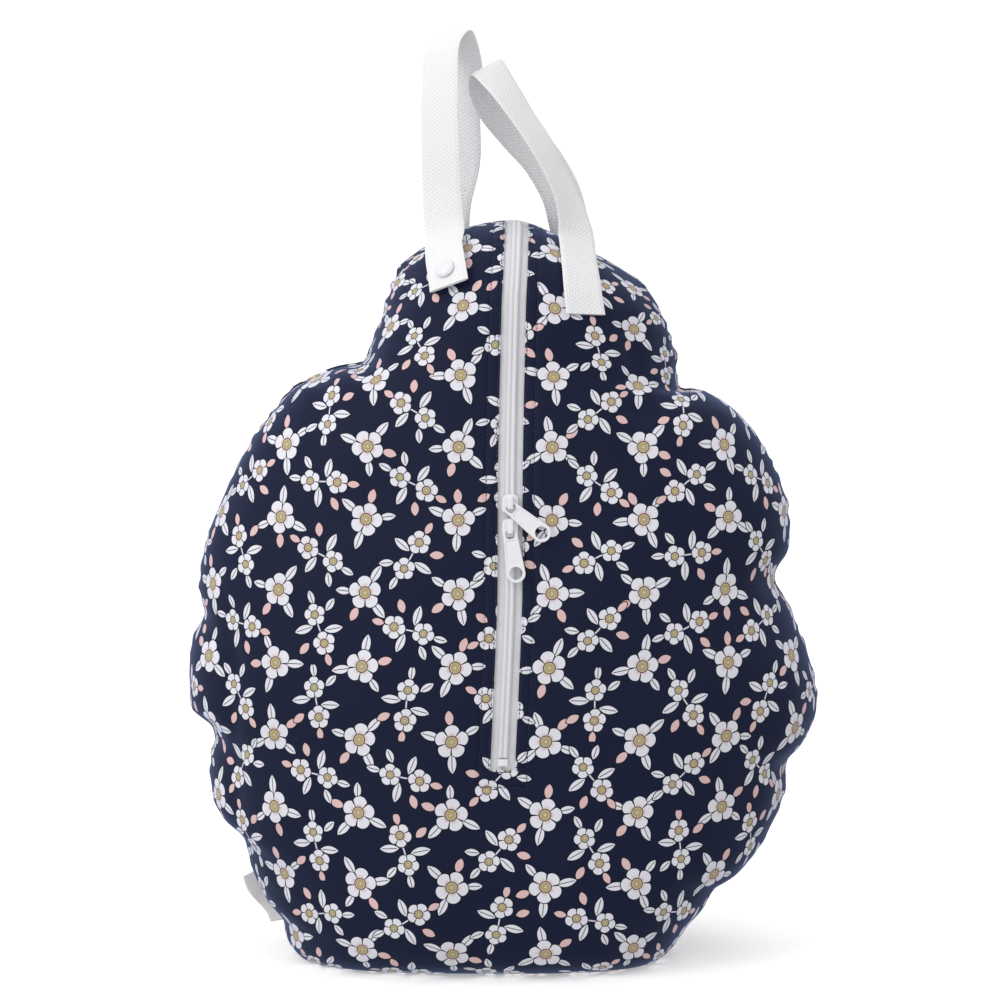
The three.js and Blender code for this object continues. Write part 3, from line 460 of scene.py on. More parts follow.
def clothPanel(name, side):
    d = clothDetail
    u, v, first = panelPlaces(side)
    V = np.broadcast_to(v[:, None], u.shape)
    base = clothPoint(side, u, V)
    normals = gridNormals(base, side)
    steps = np.linalg.norm(np.diff(base, axis=1), axis=2)
    lengths = np.concatenate([np.zeros((len(v), 1)), np.cumsum(steps, axis=1)], axis=1)
    middle = first + 2
    offset = lengths - lengths[:, middle:middle + 1]
    seamAway = np.minimum(lengths, lengths[:, -1:] - lengths)
    endAway = np.broadcast_to((np.minimum(v, 1 - v) * frontLength)[:, None], u.shape)
    relief = clothRelief(side, u, V, base, np.minimum(seamAway, endAway), offset)
    outer = base + normals * relief[..., None]
    thick = d["thickness"]
    innerDepth = np.full(u.shape, thick)
    filled = np.ones((len(v) - 1, u.shape[1] - 1), bool)
    if side < 0:
        openRow = int(np.argmin(np.abs(v - slitEnd)))
        filled[openRow:, first - 1:first + 5] = False
        away = slitDistance(offset, V)[0]
        near = np.clip(1 - away / (thick / 2), 0, 1)
        roll = thick / 2 * (1 - np.sqrt(np.maximum(0, 1 - near ** 2)))
        roll[(away < -1e-5)] = 0
        outer -= normals * roll[..., None]
        innerDepth -= 2 * roll * 0.98
    inner = outer - normals * innerDepth[..., None]
    uvs = np.stack([offset * 1000, np.broadcast_to((v * frontLength * 1000)[:, None], u.shape)], axis=-1)
    return shellMesh(name, outer, inner, filled, uvs)


frontCloth = clothPanel("frontCloth", -1)
backCloth = clothPanel("backCloth", 1)
print("panels", len(frontCloth.data.polygons), len(backCloth.data.polygons))


# Stitches: short rounded lengths of thread lying on a line of points

def threadStitches(name, centres, directions, normals, length, radius):
    points, faces, segments = [], [], 6
    profile = [(-0.5, 0.35), (-0.36, 0.95), (0, 1.1), (0.36, 0.95), (0.5, 0.35)]
    for centre, direction, normal in zip(centres, directions, normals):
        side = np.cross(direction, normal)
        start = len(points)
        for place, width in profile:
            dip = -0.7 * radius * (2 * place) ** 2
            for k in range(segments):
                angle = 2 * math.pi * k / segments
                points.append(centre + direction * place * length + normal * dip
                              + width * radius * (side * math.cos(angle) + normal * math.sin(angle)))
        for i in range(len(profile) - 1):
            for k in range(segments):
                m = (k + 1) % segments
                a, b = start + i * segments, start + (i + 1) * segments
                faces.append((a + k, a + m, b + m, b + k))
        faces.append(tuple(start + k for k in reversed(range(segments))))
        faces.append(tuple(start + (len(profile) - 1) * segments + k for k in range(segments)))
    return newMesh(name, points, faces)


def frontLine(offsets, places):
    u = besideLine(places, offsets)
    point = clothPoint(-1, u, places)
    normal = clothNormal(-1, u, places)
    return point, normal


def stitchLine(offsets, places, pitch):
    point, normal = frontLine(offsets, places)
    steps = np.linalg.norm(np.diff(point, axis=0), axis=1)
    run = np.concatenate([[0], np.cumsum(steps)])
    middles = np.arange(pitch / 2, run[-1], pitch)
    centre = np.stack([np.interp(middles, run, point[:, k]) for k in range(3)], 1)
    up = np.stack([np.interp(middles, run, normal[:, k]) for k in range(3)], 1)
    ahead = np.stack([np.interp(middles + 0.0003, run, point[:, k]) for k in range(3)], 1) - centre
    ahead /= np.maximum(np.linalg.norm(ahead, axis=1, keepdims=True), 1e-9)
    return centre[:-1], ahead[:-1], up[:-1] / np.linalg.norm(up[:-1], axis=1, keepdims=True)


stitching = {"pitch": 0.0028, "length": 0.0021, "radius": 0.00024}
slitHalf = clothDetail["slitHalfWidth"]
lines = []
for row in (("foldStitch", "foldStitch", "foldGroove"), ("topStitch", "boxStitchBelow", "grooveDepth")):
    away, drop, groove = (clothDetail[key] for key in row)
    sunk = groove - 0.8 * stitching["radius"]       # the thread lies in its groove
    reach, bottom = slitHalf + away, slitEnd - drop / frontLength
    for hand in (-1, 1):
        lines.append((np.full(300, hand * reach), np.linspace(bottom, 0.992, 300), sunk))
    lines.append((np.linspace(-reach, reach, 60), np.full(60, bottom), sunk))
centres, aheads, ups = [], [], []
for offsets, places, sunk in lines:
    c, a, n = stitchLine(offsets, places, stitching["pitch"])
    centres.append(c - n * sunk)
    aheads.append(a)
    ups.append(n)
slitStitches = threadStitches("slitStitches", np.concatenate(centres), np.concatenate(aheads),
                              np.concatenate(ups), stitching["length"], stitching["radius"])
print("stitches", sum(len(c) for c in centres))


# Zipper: tapes, chain, bottom stop

zipper = {
    "tapeTop": -0.002, "tapeThickness": 0.001, "tapeInner": 0.0001, "tapeOuter": 0.015,
    "top": 0.9985, "standProud": 0.0021, "chainHalf": 0.0031, "chainBase": -0.0017, "chainTop": 0.0002,
    "toothPitch": 0.0013, "toothRelief": 0.00005,
    "upperSliderHeight": 0.621 * bagBody["height"], "sliderSpacing": 0.0146,
    "stopWidth": 0.006, "stopLength": 0.0042, "stopThickness": 0.0024, "stopSetback": 0.0025,
}
upperLeg = placeAtHeight(zipper["upperSliderHeight"])
lowerLeg = upperLeg - zipper["sliderSpacing"] / frontLength
stopPlace = slitEnd + zipper["stopSetback"] / frontLength


def zipperFrame(v):
    v = np.asarray(v, float)
    centre = clothPoint(-1, np.zeros_like(v), v)
    up = clothNormal(-1, np.zeros_like(v), v)
    ahead = clothPoint(-1, 0 * v, v + 0.001) - clothPoint(-1, 0 * v, v - 0.001)
    ahead /= np.linalg.norm(ahead, axis=-1, keepdims=True)
    across = np.cross(ahead, up)
    return centre, across / np.linalg.norm(across, axis=-1, keepdims=True), ahead, up


def zipperMatrix(v):
    centre, across, ahead, up = zipperFrame(v)
    matrix = Matrix.Identity(4)
    for row in range(3):
        matrix[row] = (across[row], ahead[row], up[row], centre[row])
    return matrix


def zipperTape(name, hand):
    z = zipper
    v = np.linspace(slitEnd - 0.0135 / frontLength, 0.9995, 260)
    between = [0.0022, 0.0034, 0.0046, 0.0058, 0.0078, 0.0095, 0.0125]
    offset = hand * np.array([z["tapeInner"], *between, z["tapeOuter"]])
    if hand < 0:
        offset = offset[::-1]
    V, O = np.meshgrid(v, offset, indexing="ij")
    u = besideLine(V, O)
    point, normal = clothPoint(-1, u, V), clothNormal(-1, u, V)
    ripple = 0.00012 * np.sin(V * frontLength / 0.0031 + hand) * smoothStep(np.abs(O), 0.004, 0.007)
    rise = smoothStep(V, 0.985, 0.9995)[..., None] * normal[-1:, :] * z["standProud"]
    top = point + normal * (z["tapeTop"] + ripple)[..., None] + rise
    under = point + normal * (z["tapeTop"] - z["tapeThickness"]) + rise
    uvs = np.stack([O * 1000, V * frontLength * 1000], axis=-1)
    return shellMesh(name, top, under, np.ones((len(v) - 1, len(offset) - 1), bool), uvs)


def zipperChain(name, start, end):
    z = zipper
    count = int((end - start) * frontLength / 0.00034)
    v = np.linspace(start, end, count)
    centre, across, ahead, up = zipperFrame(v)
    half, base, top = z["chainHalf"], z["chainBase"], z["chainTop"]
    # shares of the half width and of the height
    ridge = [(-1, -1), (-0.97, -0.72), (-0.88, -0.42), (-0.74, -0.14), (-0.6, -0.02), (-0.46, 0),
             (-0.32, -0.06), (-0.18, -0.22), (-0.07, -0.42), (-0.02, -0.55)]
    section = [(half * a, top + (top - base) * h) for a, h in ridge]
    section += [(-a, h) for a, h in section[::-1]]
    section = np.array(section)
    wave = np.sin(2 * np.pi * v * frontLength / z["toothPitch"])
    fade = np.clip(np.minimum(v - v[0], v[-1] - v) * frontLength / 0.0008, 0, 1)
    points = []
    for s, (a, h) in enumerate(section):
        lift = z["toothRelief"] * wave * (1 if a < 0 else -1) if h > base else 0 * v
        height = base + (h - base) * np.sqrt(fade) + lift * fade
        points.append(centre + across * a + up * height[:, None])
    points = np.stack(points, 1)
    count, wide = points.shape[:2]
    index = np.arange(count * wide).reshape(count, wide)
    following = np.roll(index, -1, axis=1)
    faces = np.stack([index[:-1], following[:-1], following[1:], index[1:]], -1).reshape(-1, 4).tolist()
    faces += [index[0][::-1].tolist(), index[-1].tolist()]
    uvs = np.stack([np.broadcast_to(section[None, :, 0] * 1000, (count, wide)),
                    np.broadcast_to((v * frontLength * 1000)[:, None], (count, wide))], -1)
    return faceOutwards(newMesh(name, points.reshape(-1, 3), faces, uvs.reshape(-1, 2)))


# Flat hard pieces: closed outlines with holes, given thickness and rounded edges

def roundedOutline(corners, radius, steps=6):
    reaches = [corner[2] if len(corner) > 2 else radius for corner in corners]
    corners = [np.array(corner[:2], float) for corner in corners]
    points = []
    for i, corner in enumerate(corners):
        before, after = corners[i - 1] - corner, corners[(i + 1) % len(corners)] - corner
        enter = corner + before / np.linalg.norm(before) * reaches[i]
        leave = corner + after / np.linalg.norm(after) * reaches[i]
        for k in range(steps + 1):
            t = k / steps
            points.append((1 - t) ** 2 * enter + 2 * t * (1 - t) * corner + t * t * leave)
    return points


def arcPoints(x, y, radius, start, end, steps=24):
    angles = np.linspace(start, end, steps)
    return [np.array([x + radius * math.cos(a), y + radius * math.sin(a)]) for a in angles]


def flatPiece(name, loops, base, top, edge, matrix=None):
    curve = bpy.data.curves.new(name, "CURVE")
    curve.dimensions, curve.fill_mode = "2D", "BOTH"
    curve.extrude = (top - base) / 2 - edge
    curve.bevel_depth, curve.bevel_resolution, curve.offset = edge, 3, -edge
    for loop in loops:
        spline = curve.splines.new("POLY")
        spline.points.add(len(loop) - 1)
        for point, place in zip(spline.points, loop):
            point.co = (place[0], place[1], 0, 1)
        spline.use_cyclic_u = True
    shape = bpy.data.objects.new(name, curve)
    bpy.context.collection.objects.link(shape)
    bpy.context.view_layer.update()
    mesh = bpy.data.meshes.new_from_object(shape)
    bpy.data.objects.remove(shape)
    work = bmesh.new()
    work.from_mesh(mesh)
    bmesh.ops.remove_doubles(work, verts=work.verts, dist=0.000004)
    bmesh.ops.recalc_face_normals(work, faces=work.faces)
    work.to_mesh(mesh)
    work.free()
    mesh.transform(Matrix.Translation((0, 0, (base + top) / 2)))
    if matrix is not None:
        mesh.transform(matrix)
    mesh.polygons.foreach_set("use_smooth", [True] * len(mesh.polygons))
    mesh.materials.clear()
    obj = bpy.data.objects.new(name, mesh)
    bpy.context.collection.objects.link(obj)
    return obj


def creaseByAngle(obj, degrees=32):
    work = bmesh.new()
    work.from_mesh(obj.data)
    for line in work.edges:
        line.smooth = len(line.link_faces) == 2 and line.calc_face_angle(0) < math.radians(degrees)
    work.to_mesh(obj.data)
    work.free()
    return obj


slider = {
    "width": 0.0096, "above": 0.009, "below": 0.0022, "plate": 0.0012, "lip": 0.0011,
    "bridgeWidth": 0.0034, "bridgeLength": 0.0084, "leg": 0.0016, "bridgeTop": 0.0013,
    "post": 0.0016, "postLength": 0.0024,
}
pull = {
    "thickness": 0.0015, "length": 0.033, "topWidth": 0.0084, "endWidth": 0.0113, "bar": 0.0016,
    "windowLength": 0.005, "windowWidth": 0.0054, "hole": 0.0077, "rim": 0.0011, "recess": 0.00035,
    "upperAngle": 51, "upperShift": 0.0005, "upperReach": 0.0003, "lowerAngle": 8.8,
}
plateBase = zipper["chainTop"] + seatGap
plateTop = plateBase + slider["plate"]
barDiagonal = math.hypot(pull["thickness"], pull["bar"])
bridgeInside = barDiagonal + 0.0006
pullBase = plateTop + (bridgeInside - pull["thickness"]) / 2


def zipperSlider(name, place, postPlace):
    s = slider
    half, low, high = s["width"] / 2, -s["below"], s["above"]
    outline = [(-half, low), (half, low), (half, high, 0.0044), (-half, high, 0.0044)]
    under = zipper["tapeTop"] - zipper["tapeThickness"] - seatGap
    parts = [
        flatPiece("plate", [roundedOutline(outline, 0.002, 10)], plateBase - 0.0002, plateTop, 0.0005),
        flatPiece("underPlate", [roundedOutline(outline, 0.002, 10)], under - s["plate"], under, 0.0003),
    ]
    lipBase = zipper["tapeTop"] + seatGap
    for hand in (-1, 1):
        a, b = sorted((hand * half, hand * (half - s["lip"])))
        lip = roundedOutline([(a, low + 0.002), (b, low + 0.002), (b, high - 0.0044), (a, high - 0.0044)],
                             0.0004, 3)
        parts.append(flatPiece("lip", [lip], lipBase, plateBase + 0.0004, 0.0002))
    a, b = postPlace - s["postLength"] / 2, postPlace + s["postLength"] / 2
    postSide = s["post"] / 2
    post = roundedOutline([(-postSide, a), (postSide, a), (postSide, b), (-postSide, b)], 0.0004, 3)
    parts.append(flatPiece("post", [post], under - 0.0004, plateBase + 0.0004, 0.0001))
    legHalf = s["leg"] / 2
    end, crown = s["bridgeLength"] - legHalf, bridgeInside + s["bridgeTop"]
    outer = roundedOutline([(-0.0004, -legHalf), (crown, -legHalf), (crown, end), (-0.0004, end)], 0.0014)
    inner = roundedOutline([(0, legHalf), (bridgeInside, legHalf), (bridgeInside, end - s["leg"]),
                            (0, end - s["leg"])], 0.0004, 3)
    turn = Matrix(((0, 0, -1, 0), (0, 1, 0, 0), (1, 0, 0, plateTop), (0, 0, 0, 1)))
    bridgeSide = s["bridgeWidth"] / 2
    parts.append(flatPiece("bridge", [outer, inner[::-1]], -bridgeSide, bridgeSide, 0.0004, turn))
    piece = joinMeshes(name, parts)
    piece.data.transform(zipperMatrix(place))
    return creaseByAngle(piece)


def zipperPull(name, place, angle, x, y):
    p = pull
    half, endRadius = p["topWidth"] / 2, p["endWidth"] / 2
    top = p["windowLength"] / 2 + p["bar"]
    bottom = top - p["length"]
    holePlace = bottom + endRadius
    outline = arcPoints(0, top - half, half, 0.1, math.pi - 0.1)
    outline += arcPoints(0, holePlace, endRadius, math.pi + 0.06, 2 * math.pi - 0.06)
    side, reach = p["windowWidth"] / 2, p["windowLength"] / 2
    window = roundedOutline([(-side, -reach, 0.0023), (side, -reach, 0.0023), (side, reach), (-side, reach)],
                            0.0012)[::-1]
    hole = arcPoints(0, holePlace, p["hole"] / 2, 2 * math.pi, 0, 33)[:-1]
    panelTop, panelBottom = -reach - p["rim"], holePlace + p["hole"] / 2 + p["rim"]
    topHalf, bottomHalf = half - p["rim"], (half + endRadius) / 2 - p["rim"] + 0.0005
    panel = roundedOutline([(-bottomHalf, panelBottom), (bottomHalf, panelBottom), (topHalf, panelTop),
                            (-topHalf, panelTop)], 0.001)[::-1]
    thick = p["thickness"]
    parts = [
        flatPiece("body", [outline, window, hole], 0, thick - p["recess"], 0.00035),
        flatPiece("rim", [outline, window, hole, panel], thick - p["recess"] - 0.0007, thick, 0.00026),
    ]
    piece = joinMeshes(name, parts)
    move = Matrix.Translation((x, y, pullBase)) @ Matrix.Rotation(math.radians(angle), 4, "Z")
    piece.data.transform(zipperMatrix(place) @ move)
    return creaseByAngle(piece)


postHalf = slider["postLength"] / 2
upperPostTop = upperLeg + (slider["postLength"] - 0.0018) / frontLength
lowerPostBottom = lowerLeg + (slider["above"] - 0.0004 - slider["postLength"]) / frontLength
tapeLeft = zipperTape("tapeLeft", -1)
tapeRight = zipperTape("tapeRight", 1)
chainUpper = zipperChain("chainUpper", upperPostTop + seatGap / frontLength, zipper["top"])
chainLower = zipperChain("chainLower", stopPlace + 0.0045 / frontLength,
                         lowerPostBottom - seatGap / frontLength)
stopHalf = zipper["stopWidth"] / 2
stopOutline = roundedOutline([(-stopHalf, 0), (stopHalf, 0), (stopHalf, zipper["stopLength"]),
                              (-stopHalf, zipper["stopLength"])], 0.0008)
bottomStop = flatPiece("bottomStop", [stopOutline], zipper["chainBase"],
                       zipper["chainBase"] + zipper["stopThickness"], 0.0005, zipperMatrix(stopPlace))
sliderUpper = zipperSlider("sliderUpper", upperLeg, postHalf - 0.0018)
sliderLower = zipperSlider("sliderLower", lowerLeg, slider["above"] - 0.0004 - postHalf)
upperTurn = math.radians(pull["upperAngle"])
upperX = pull["upperShift"] * math.cos(upperTurn) + pull["upperReach"] * math.sin(upperTurn)
upperY = pull["upperShift"] * math.sin(upperTurn) - pull["upperReach"] * math.cos(upperTurn)
pullUpper = zipperPull("pullUpper", upperLeg, pull["upperAngle"], upperX, upperY)
lowerBar = slider["leg"] / 2 + barDiagonal / 2 + seatGap
pullLower = zipperPull("pullLower", lowerLeg, pull["lowerAngle"], 0,
                       lowerBar - (pull["windowLength"] + pull["bar"]) / 2)
print("zipper")


# Handles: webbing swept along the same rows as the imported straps

webbing = {
    "width": 0.0254,
    "thickness": 0.0018,
    "snapStandOff": 0.0047,
    "clothStandOff": 0.0006,
    "selvedge": 0.00012,
    # where, side, stand-off in metres or depth share, height, yaw, lean
    "left": [
        ["front", -0.0715, 0.0047, 0.9046, 0, 0],
        ["front", -0.0755, 0.0047, 0.9284, 0, 0],
        ["front", -0.0795, 0.0047, 0.9501, 0, 0],
        ["free", -0.085, -0.15, 0.983, -12, 12],
        ["free", -0.089, -0.13, 1.026, -18, 6],
        ["free", -0.092, -0.125, 1.095, -22, 6],
        ["free", -0.093, -0.103, 1.17, -26, 5],
        ["free", -0.088, -0.056, 1.233, -33, 5],
        ["free", -0.07, 0, 1.252, -37, 2],
        ["free", -0.055, 0.07, 1.216, -33, -5],
        ["free", -0.06, 0.125, 1.148, -22, -14],
        ["free", -0.062, 0.148, 1.083, -14, -15],
        ["free", -0.076, 0.152, 1.032, -8, -12],
        ["free", -0.08, 0.155, 1.002, -4, 0],
        ["free", -0.08, 0.168, 0.977, 0, 13],
        ["back", -0.0775, 0.0006, 0.9479, 0, 0],
        ["back", -0.0788, 0.0006, 0.9241, 0, 0],
        ["back", -0.0788, 0.0006, 0.898, 0, 0],
    ],
    "right": [
        ["front", 0.128, 0.0006, 0.8718, 0, 9],
        ["front", 0.1245, 0.0006, 0.898, 0, 8],
        ["front", 0.1215, 0.0006, 0.9255, 0, 8],
        ["front", 0.119, 0.0006, 0.9458, 0, 9],
        ["free", 0.118, -0.14, 0.972, 18, -20],
        ["free", 0.1145, -0.1225, 0.996, 35, -12],
        ["free", 0.104, -0.113, 1.027, 48, -4],
        ["free", 0.087, -0.108, 1.06, 55, 4],
        ["free", 0.065, -0.105, 1.097, 53, 11],
        ["free", 0.034, -0.088, 1.138, 54, 13],
        ["free", 0.003, -0.062, 1.178, 48, 19],
        ["free", -0.022, -0.028, 1.204, 36, 27],
        ["free", -0.024, 0.008, 1.188, 24, 38],
        ["free", -0.008, 0.045, 1.157, 13, 47],
        ["free", 0.026, 0.082, 1.122, 8, 48],
        ["free", 0.067, 0.105, 1.083, 5, 42],
        ["free", 0.097, 0.1175, 1.037, 4, 26],
        ["free", 0.1075, 0.1265, 1.004, 2, 3],
        ["free", 0.1145, 0.145, 0.976, 2, -14],
        ["back", 0.118, 0.0006, 0.9458, 0, 8],
        ["back", 0.121, 0.0006, 0.9241, 0, 6],
        ["back", 0.123, 0.0006, 0.898, 0, 4],
    ],
}


def strapRows(table):
    centres, widths = [], []
    for where, side, depth, height, yaw, lean in table:
        x, z = bagBody["width"] * side, bagBody["height"] * height
        yaw, lean = math.radians(yaw), math.radians(lean)
        width = np.array([math.cos(yaw) * math.cos(lean), math.sin(yaw) * math.cos(lean), math.sin(lean)])
        if where == "free":
            centres.append(np.array([x, bagBody["depth"] * depth, z]))
        else:
            panel = -1 if where == "front" else 1
            u, v = locate(panel, x, z)
            normal = clothNormal(panel, u, v)
            centres.append(clothPoint(panel, u, v) + normal * (depth + webbing["thickness"] / 2))
            width = width - normal * width.dot(normal)
        widths.append(width)
    return centres, widths


def curveThrough(points, t):
    last = len(points) - 1
    i = min(int(t), last - 1)
    w = t - i
    p1, p2 = points[i], points[i + 1]
    p0 = points[i - 1] if i > 0 else 2 * points[0] - points[1]
    p3 = points[i + 2] if i + 2 <= last else 2 * points[last] - points[last - 1]
    d0, d1, d2 = (math.sqrt(np.linalg.norm(b - a)) for a, b in ((p0, p1), (p1, p2), (p2, p3)))
    m1 = ((p1 - p0) / d0 - (p2 - p0) / (d0 + d1) + (p2 - p1) / d1) * d1
    m2 = ((p2 - p1) / d1 - (p3 - p1) / (d1 + d2) + (p3 - p2) / d2) * d1
    a, b = 2 * p1 - 2 * p2 + m1 + m2, -3 * p1 + 3 * p2 - 2 * m1 - m2
    return ((a * w + b) * w + m1) * w + p1, (3 * a * w + 2 * b) * w + m1


def webbingStrap(name, table):
    centres, widths = strapRows(table)
    half, thick = webbing["width"] / 2, webbing["thickness"] / 2
    steps = np.linspace(0, len(centres) - 1, 24 * (len(centres) - 1) + 1)
    across = np.linspace(-1, 1, 15)
    edge = np.sqrt(np.maximum(0, 1 - np.clip((np.abs(across) - 0.93) / 0.07, 0, 1) ** 2))
    section = [(a * half, thick * max(e, 0.12)) for a, e in zip(across, edge)]
    section += [(a * half, -thick * max(e, 0.12)) for a, e in zip(across[::-1], edge[::-1])]
    section = np.array(section)
    points, uvs, run, before = [], [], 0.0, None
    for t in steps:
        centre, ahead = curveThrough(centres, t)
        ahead = ahead / np.linalg.norm(ahead)
        i = min(int(t), len(centres) - 2)
        width = widths[i] * (1 - (t - i)) + widths[i + 1] * (t - i)
        width = width - ahead * width.dot(ahead)
        width /= np.linalg.norm(width)
        up = np.cross(ahead, width)
        if before is not None:
            run += np.linalg.norm(centre - before)
        before = centre
        wobble = 1 + webbing["selvedge"] / half * math.sin(run / 0.0021 * 2 * math.pi)
        points.append(centre + section[:, :1] * wobble * width + section[:, 1:] * up)
        uvs.append(np.stack([section[:, 0] * 1000, np.full(len(section), run * 1000)], 1))
    points, uvs = np.array(points), np.array(uvs)
    count, wide = points.shape[:2]
    index = np.arange(count * wide).reshape(count, wide)
    following = np.roll(index, -1, axis=1)
    faces = np.stack([index[:-1], following[:-1], following[1:], index[1:]], -1).reshape(-1, 4).tolist()
    faces += [index[0][::-1].tolist(), index[-1].tolist()]
    return creaseByAngle(faceOutwards(newMesh(name, points.reshape(-1, 3), faces, uvs.reshape(-1, 2))), 50)


strapLeft = webbingStrap("strapLeft", webbing["left"])
strapRight = webbingStrap("strapRight", webbing["right"])
print("handles")


# Snap: pieces turned about the stud's axis

snap = {
    "side": -0.076, "height": 0.9241, "ringRadius": 0.0055, "postRadius": 0.0019,
    "layer": 0.0016, "capRadius": 0.00625, "capHeight": 0.003, "segments": 64,
}


def surfaceMatrix(side, x, z):
    u, v = locate(side, x, z)
    centre, up = clothPoint(side, u, v), clothNormal(side, u, v)
    across = np.array([1.0, 0, 0]) - up * up[0]
    across /= np.linalg.norm(across)
    ahead = np.cross(up, across)
    matrix = Matrix.Identity(4)
    for row in range(3):
        matrix[row] = (across[row], ahead[row], up[row], centre[row])
    return matrix


def turnedPiece(name, profile, matrix, segments):
    ringed = [p for p in profile if p[0] > 1e-6]
    points, faces = [], []
    for radius, height in ringed:
        for k in range(segments):
            angle = 2 * math.pi * k / segments
            points.append((radius * math.cos(angle), radius * math.sin(angle), height))
    count = len(ringed)
    closed = profile[0][0] > 1e-6
    for i in range(count if closed else count - 1):
        a, b = i * segments, ((i + 1) % count) * segments
        for k in range(segments):
            m = (k + 1) % segments
            faces.append((a + k, a + m, b + m, b + k))
    if not closed:
        ends = ((profile[0], 0, True), (profile[-1], (count - 1) * segments, False))
        for (radius, height), start, flip in ends:
            points.append((0, 0, height))
            for k in range(segments):
                m = (k + 1) % segments
                face = (start + k, start + m, len(points) - 1)
                faces.append(face[::-1] if flip else face)
    obj = newMesh(name, points, faces)
    obj.data.transform(matrix)
    work = bmesh.new()
    work.from_mesh(obj.data)
    bmesh.ops.recalc_face_normals(work, faces=work.faces)
    work.to_mesh(obj.data)
    work.free()
    return creaseByAngle(obj, 40)


snapMatrix = surfaceMatrix(-1, bagBody["width"] * snap["side"], bagBody["height"] * snap["height"])
ring, post, layer = snap["ringRadius"], snap["postRadius"], snap["layer"]
snapStud = turnedPiece("snapStud", [
    (0, seatGap), (ring - 0.0003, seatGap), (ring, 0.0006), (ring, seatGap + layer - 0.0004),
    (ring - 0.0004, seatGap + layer), (post + 0.0004, seatGap + layer), (post, 0.0007 + layer),
    (post, 0.001 + layer), (post - 0.0004, 0.0013 + layer), (0, 0.0013 + layer),
], snapMatrix, snap["segments"])
socketBase = 0.0006 + layer
snapSocket = turnedPiece("snapSocket", [
    (post + seatGap, socketBase), (ring - 0.0003, socketBase), (ring, socketBase + 0.0003),
    (ring, socketBase + layer - 0.0004), (ring - 0.0004, socketBase + layer),
    (post + seatGap, socketBase + layer),
], snapMatrix, snap["segments"])
capBase, capRadius = webbing["snapStandOff"] + webbing["thickness"] + seatGap, snap["capRadius"]
capProfile = [(0, capBase), (capRadius - 0.0004, capBase), (capRadius, capBase + 0.0004)]
for k in range(1, 13):
    angle = k * math.pi / 2 / 13
    capProfile.append((capRadius * math.cos(angle) ** 0.9, capBase + 0.0006 + 0.0024 * math.sin(angle)))
capProfile.append((0, capBase + snap["capHeight"]))
snapCap = turnedPiece("snapCap", capProfile, snapMatrix, snap["segments"])
print("snap")


# Side label: a folded satin tab in the left seam

label = {
    "length": 0.037, "reach": 0.0095, "thickness": 0.001, "height": 0.0716,     # the height is a share
    "wave": 0.0008, "bend": 0.0016,
}


def sideLabel(name):
    seam = lambda v: clothPoint(-1, -1.0 + 0 * v, v) * [1, 0, 1]
    tries = np.arange(0, 0.3, 0.0005)
    start = tries[np.argmax(seam(tries)[:, 2] >= label["height"] * bagBody["height"])]
    near = np.arange(start - 0.08, start + 0.08, 0.0005)
    away = np.linalg.norm(seam(near) - seam(np.array([start])), axis=1)
    places = near[away <= label["length"] / 2]
    v = np.linspace(places[0], places[-1], 49)
    reach = np.linspace(0, 1, 13)
    k = np.linspace(0, 6, 49)
    base = seam(v)
    out = clothNormal(-1, -1.0 + 0 * v, v) * [1, 0, 1]
    out /= np.linalg.norm(out, axis=1, keepdims=True)
    wave, bend = label["wave"] * np.sin(k * 1.7), label["bend"] * np.sin(k * 0.9)
    fold = label["thickness"] / 2 * np.sqrt(np.clip(1 - ((reach - 0.93) / 0.07).clip(0, 1) ** 2, 0.01, 1))
    layers = []
    for hand in (-1, 1):
        stretch = seatGap + (label["reach"] + wave[:, None] * reach) * reach
        grid = base[:, None] + out[:, None] * stretch[..., None]
        grid[..., 1] = bend[:, None] * reach + 0.0003 * np.sin(k * 2.9)[:, None] * reach ** 2 + hand * fold
        layers.append(grid)
    uvs = np.stack(np.meshgrid(np.linspace(0, 37, 49), reach * 9.5, indexing="ij"), -1)
    return shellMesh(name, layers[0], layers[1], np.ones((48, 12), bool), uvs)


tab = sideLabel("sideLabel")
print("label")


# Materials

def newMaterial(name, **values):
    material = bpy.data.materials.new(name)
    material.use_nodes = True
    shader = material.node_tree.nodes["Principled BSDF"]
    for socket, value in values.items():
        shader.inputs[socket.replace("_", " ")].default_value = value
    return material, material.node_tree, shader


def shade(r, g, b):
    linear = [((c / 255 + 0.055) / 1.055) ** 2.4 if c > 10 else c / 255 / 12.92 for c in (r, g, b)]
    return (*linear, 1)


def makeTerms(tree):
    def node(kind, **settings):
        made = tree.nodes.new(kind)
        for key, value in settings.items():
            setattr(made, key, value)
        return made

    def maths(operation, *values, clamp=False):
        made = node("ShaderNodeMath", operation=operation, use_clamp=clamp)
        for socket, value in zip(made.inputs, values):
            if isinstance(value, (int, float)):
                socket.default_value = value
            else:
                tree.links.new(value, socket)
        return made.outputs[0]

    def mixed(factor, a, b):
        made = node("ShaderNodeMix", data_type="RGBA")
        for socket, value in zip((made.inputs["Factor"], made.inputs[6], made.inputs[7]), (factor, a, b)):
            if isinstance(value, (int, float, tuple)):
                socket.default_value = value
            else:
                tree.links.new(value, socket)
        return made.outputs[2]

    return node, maths, mixed


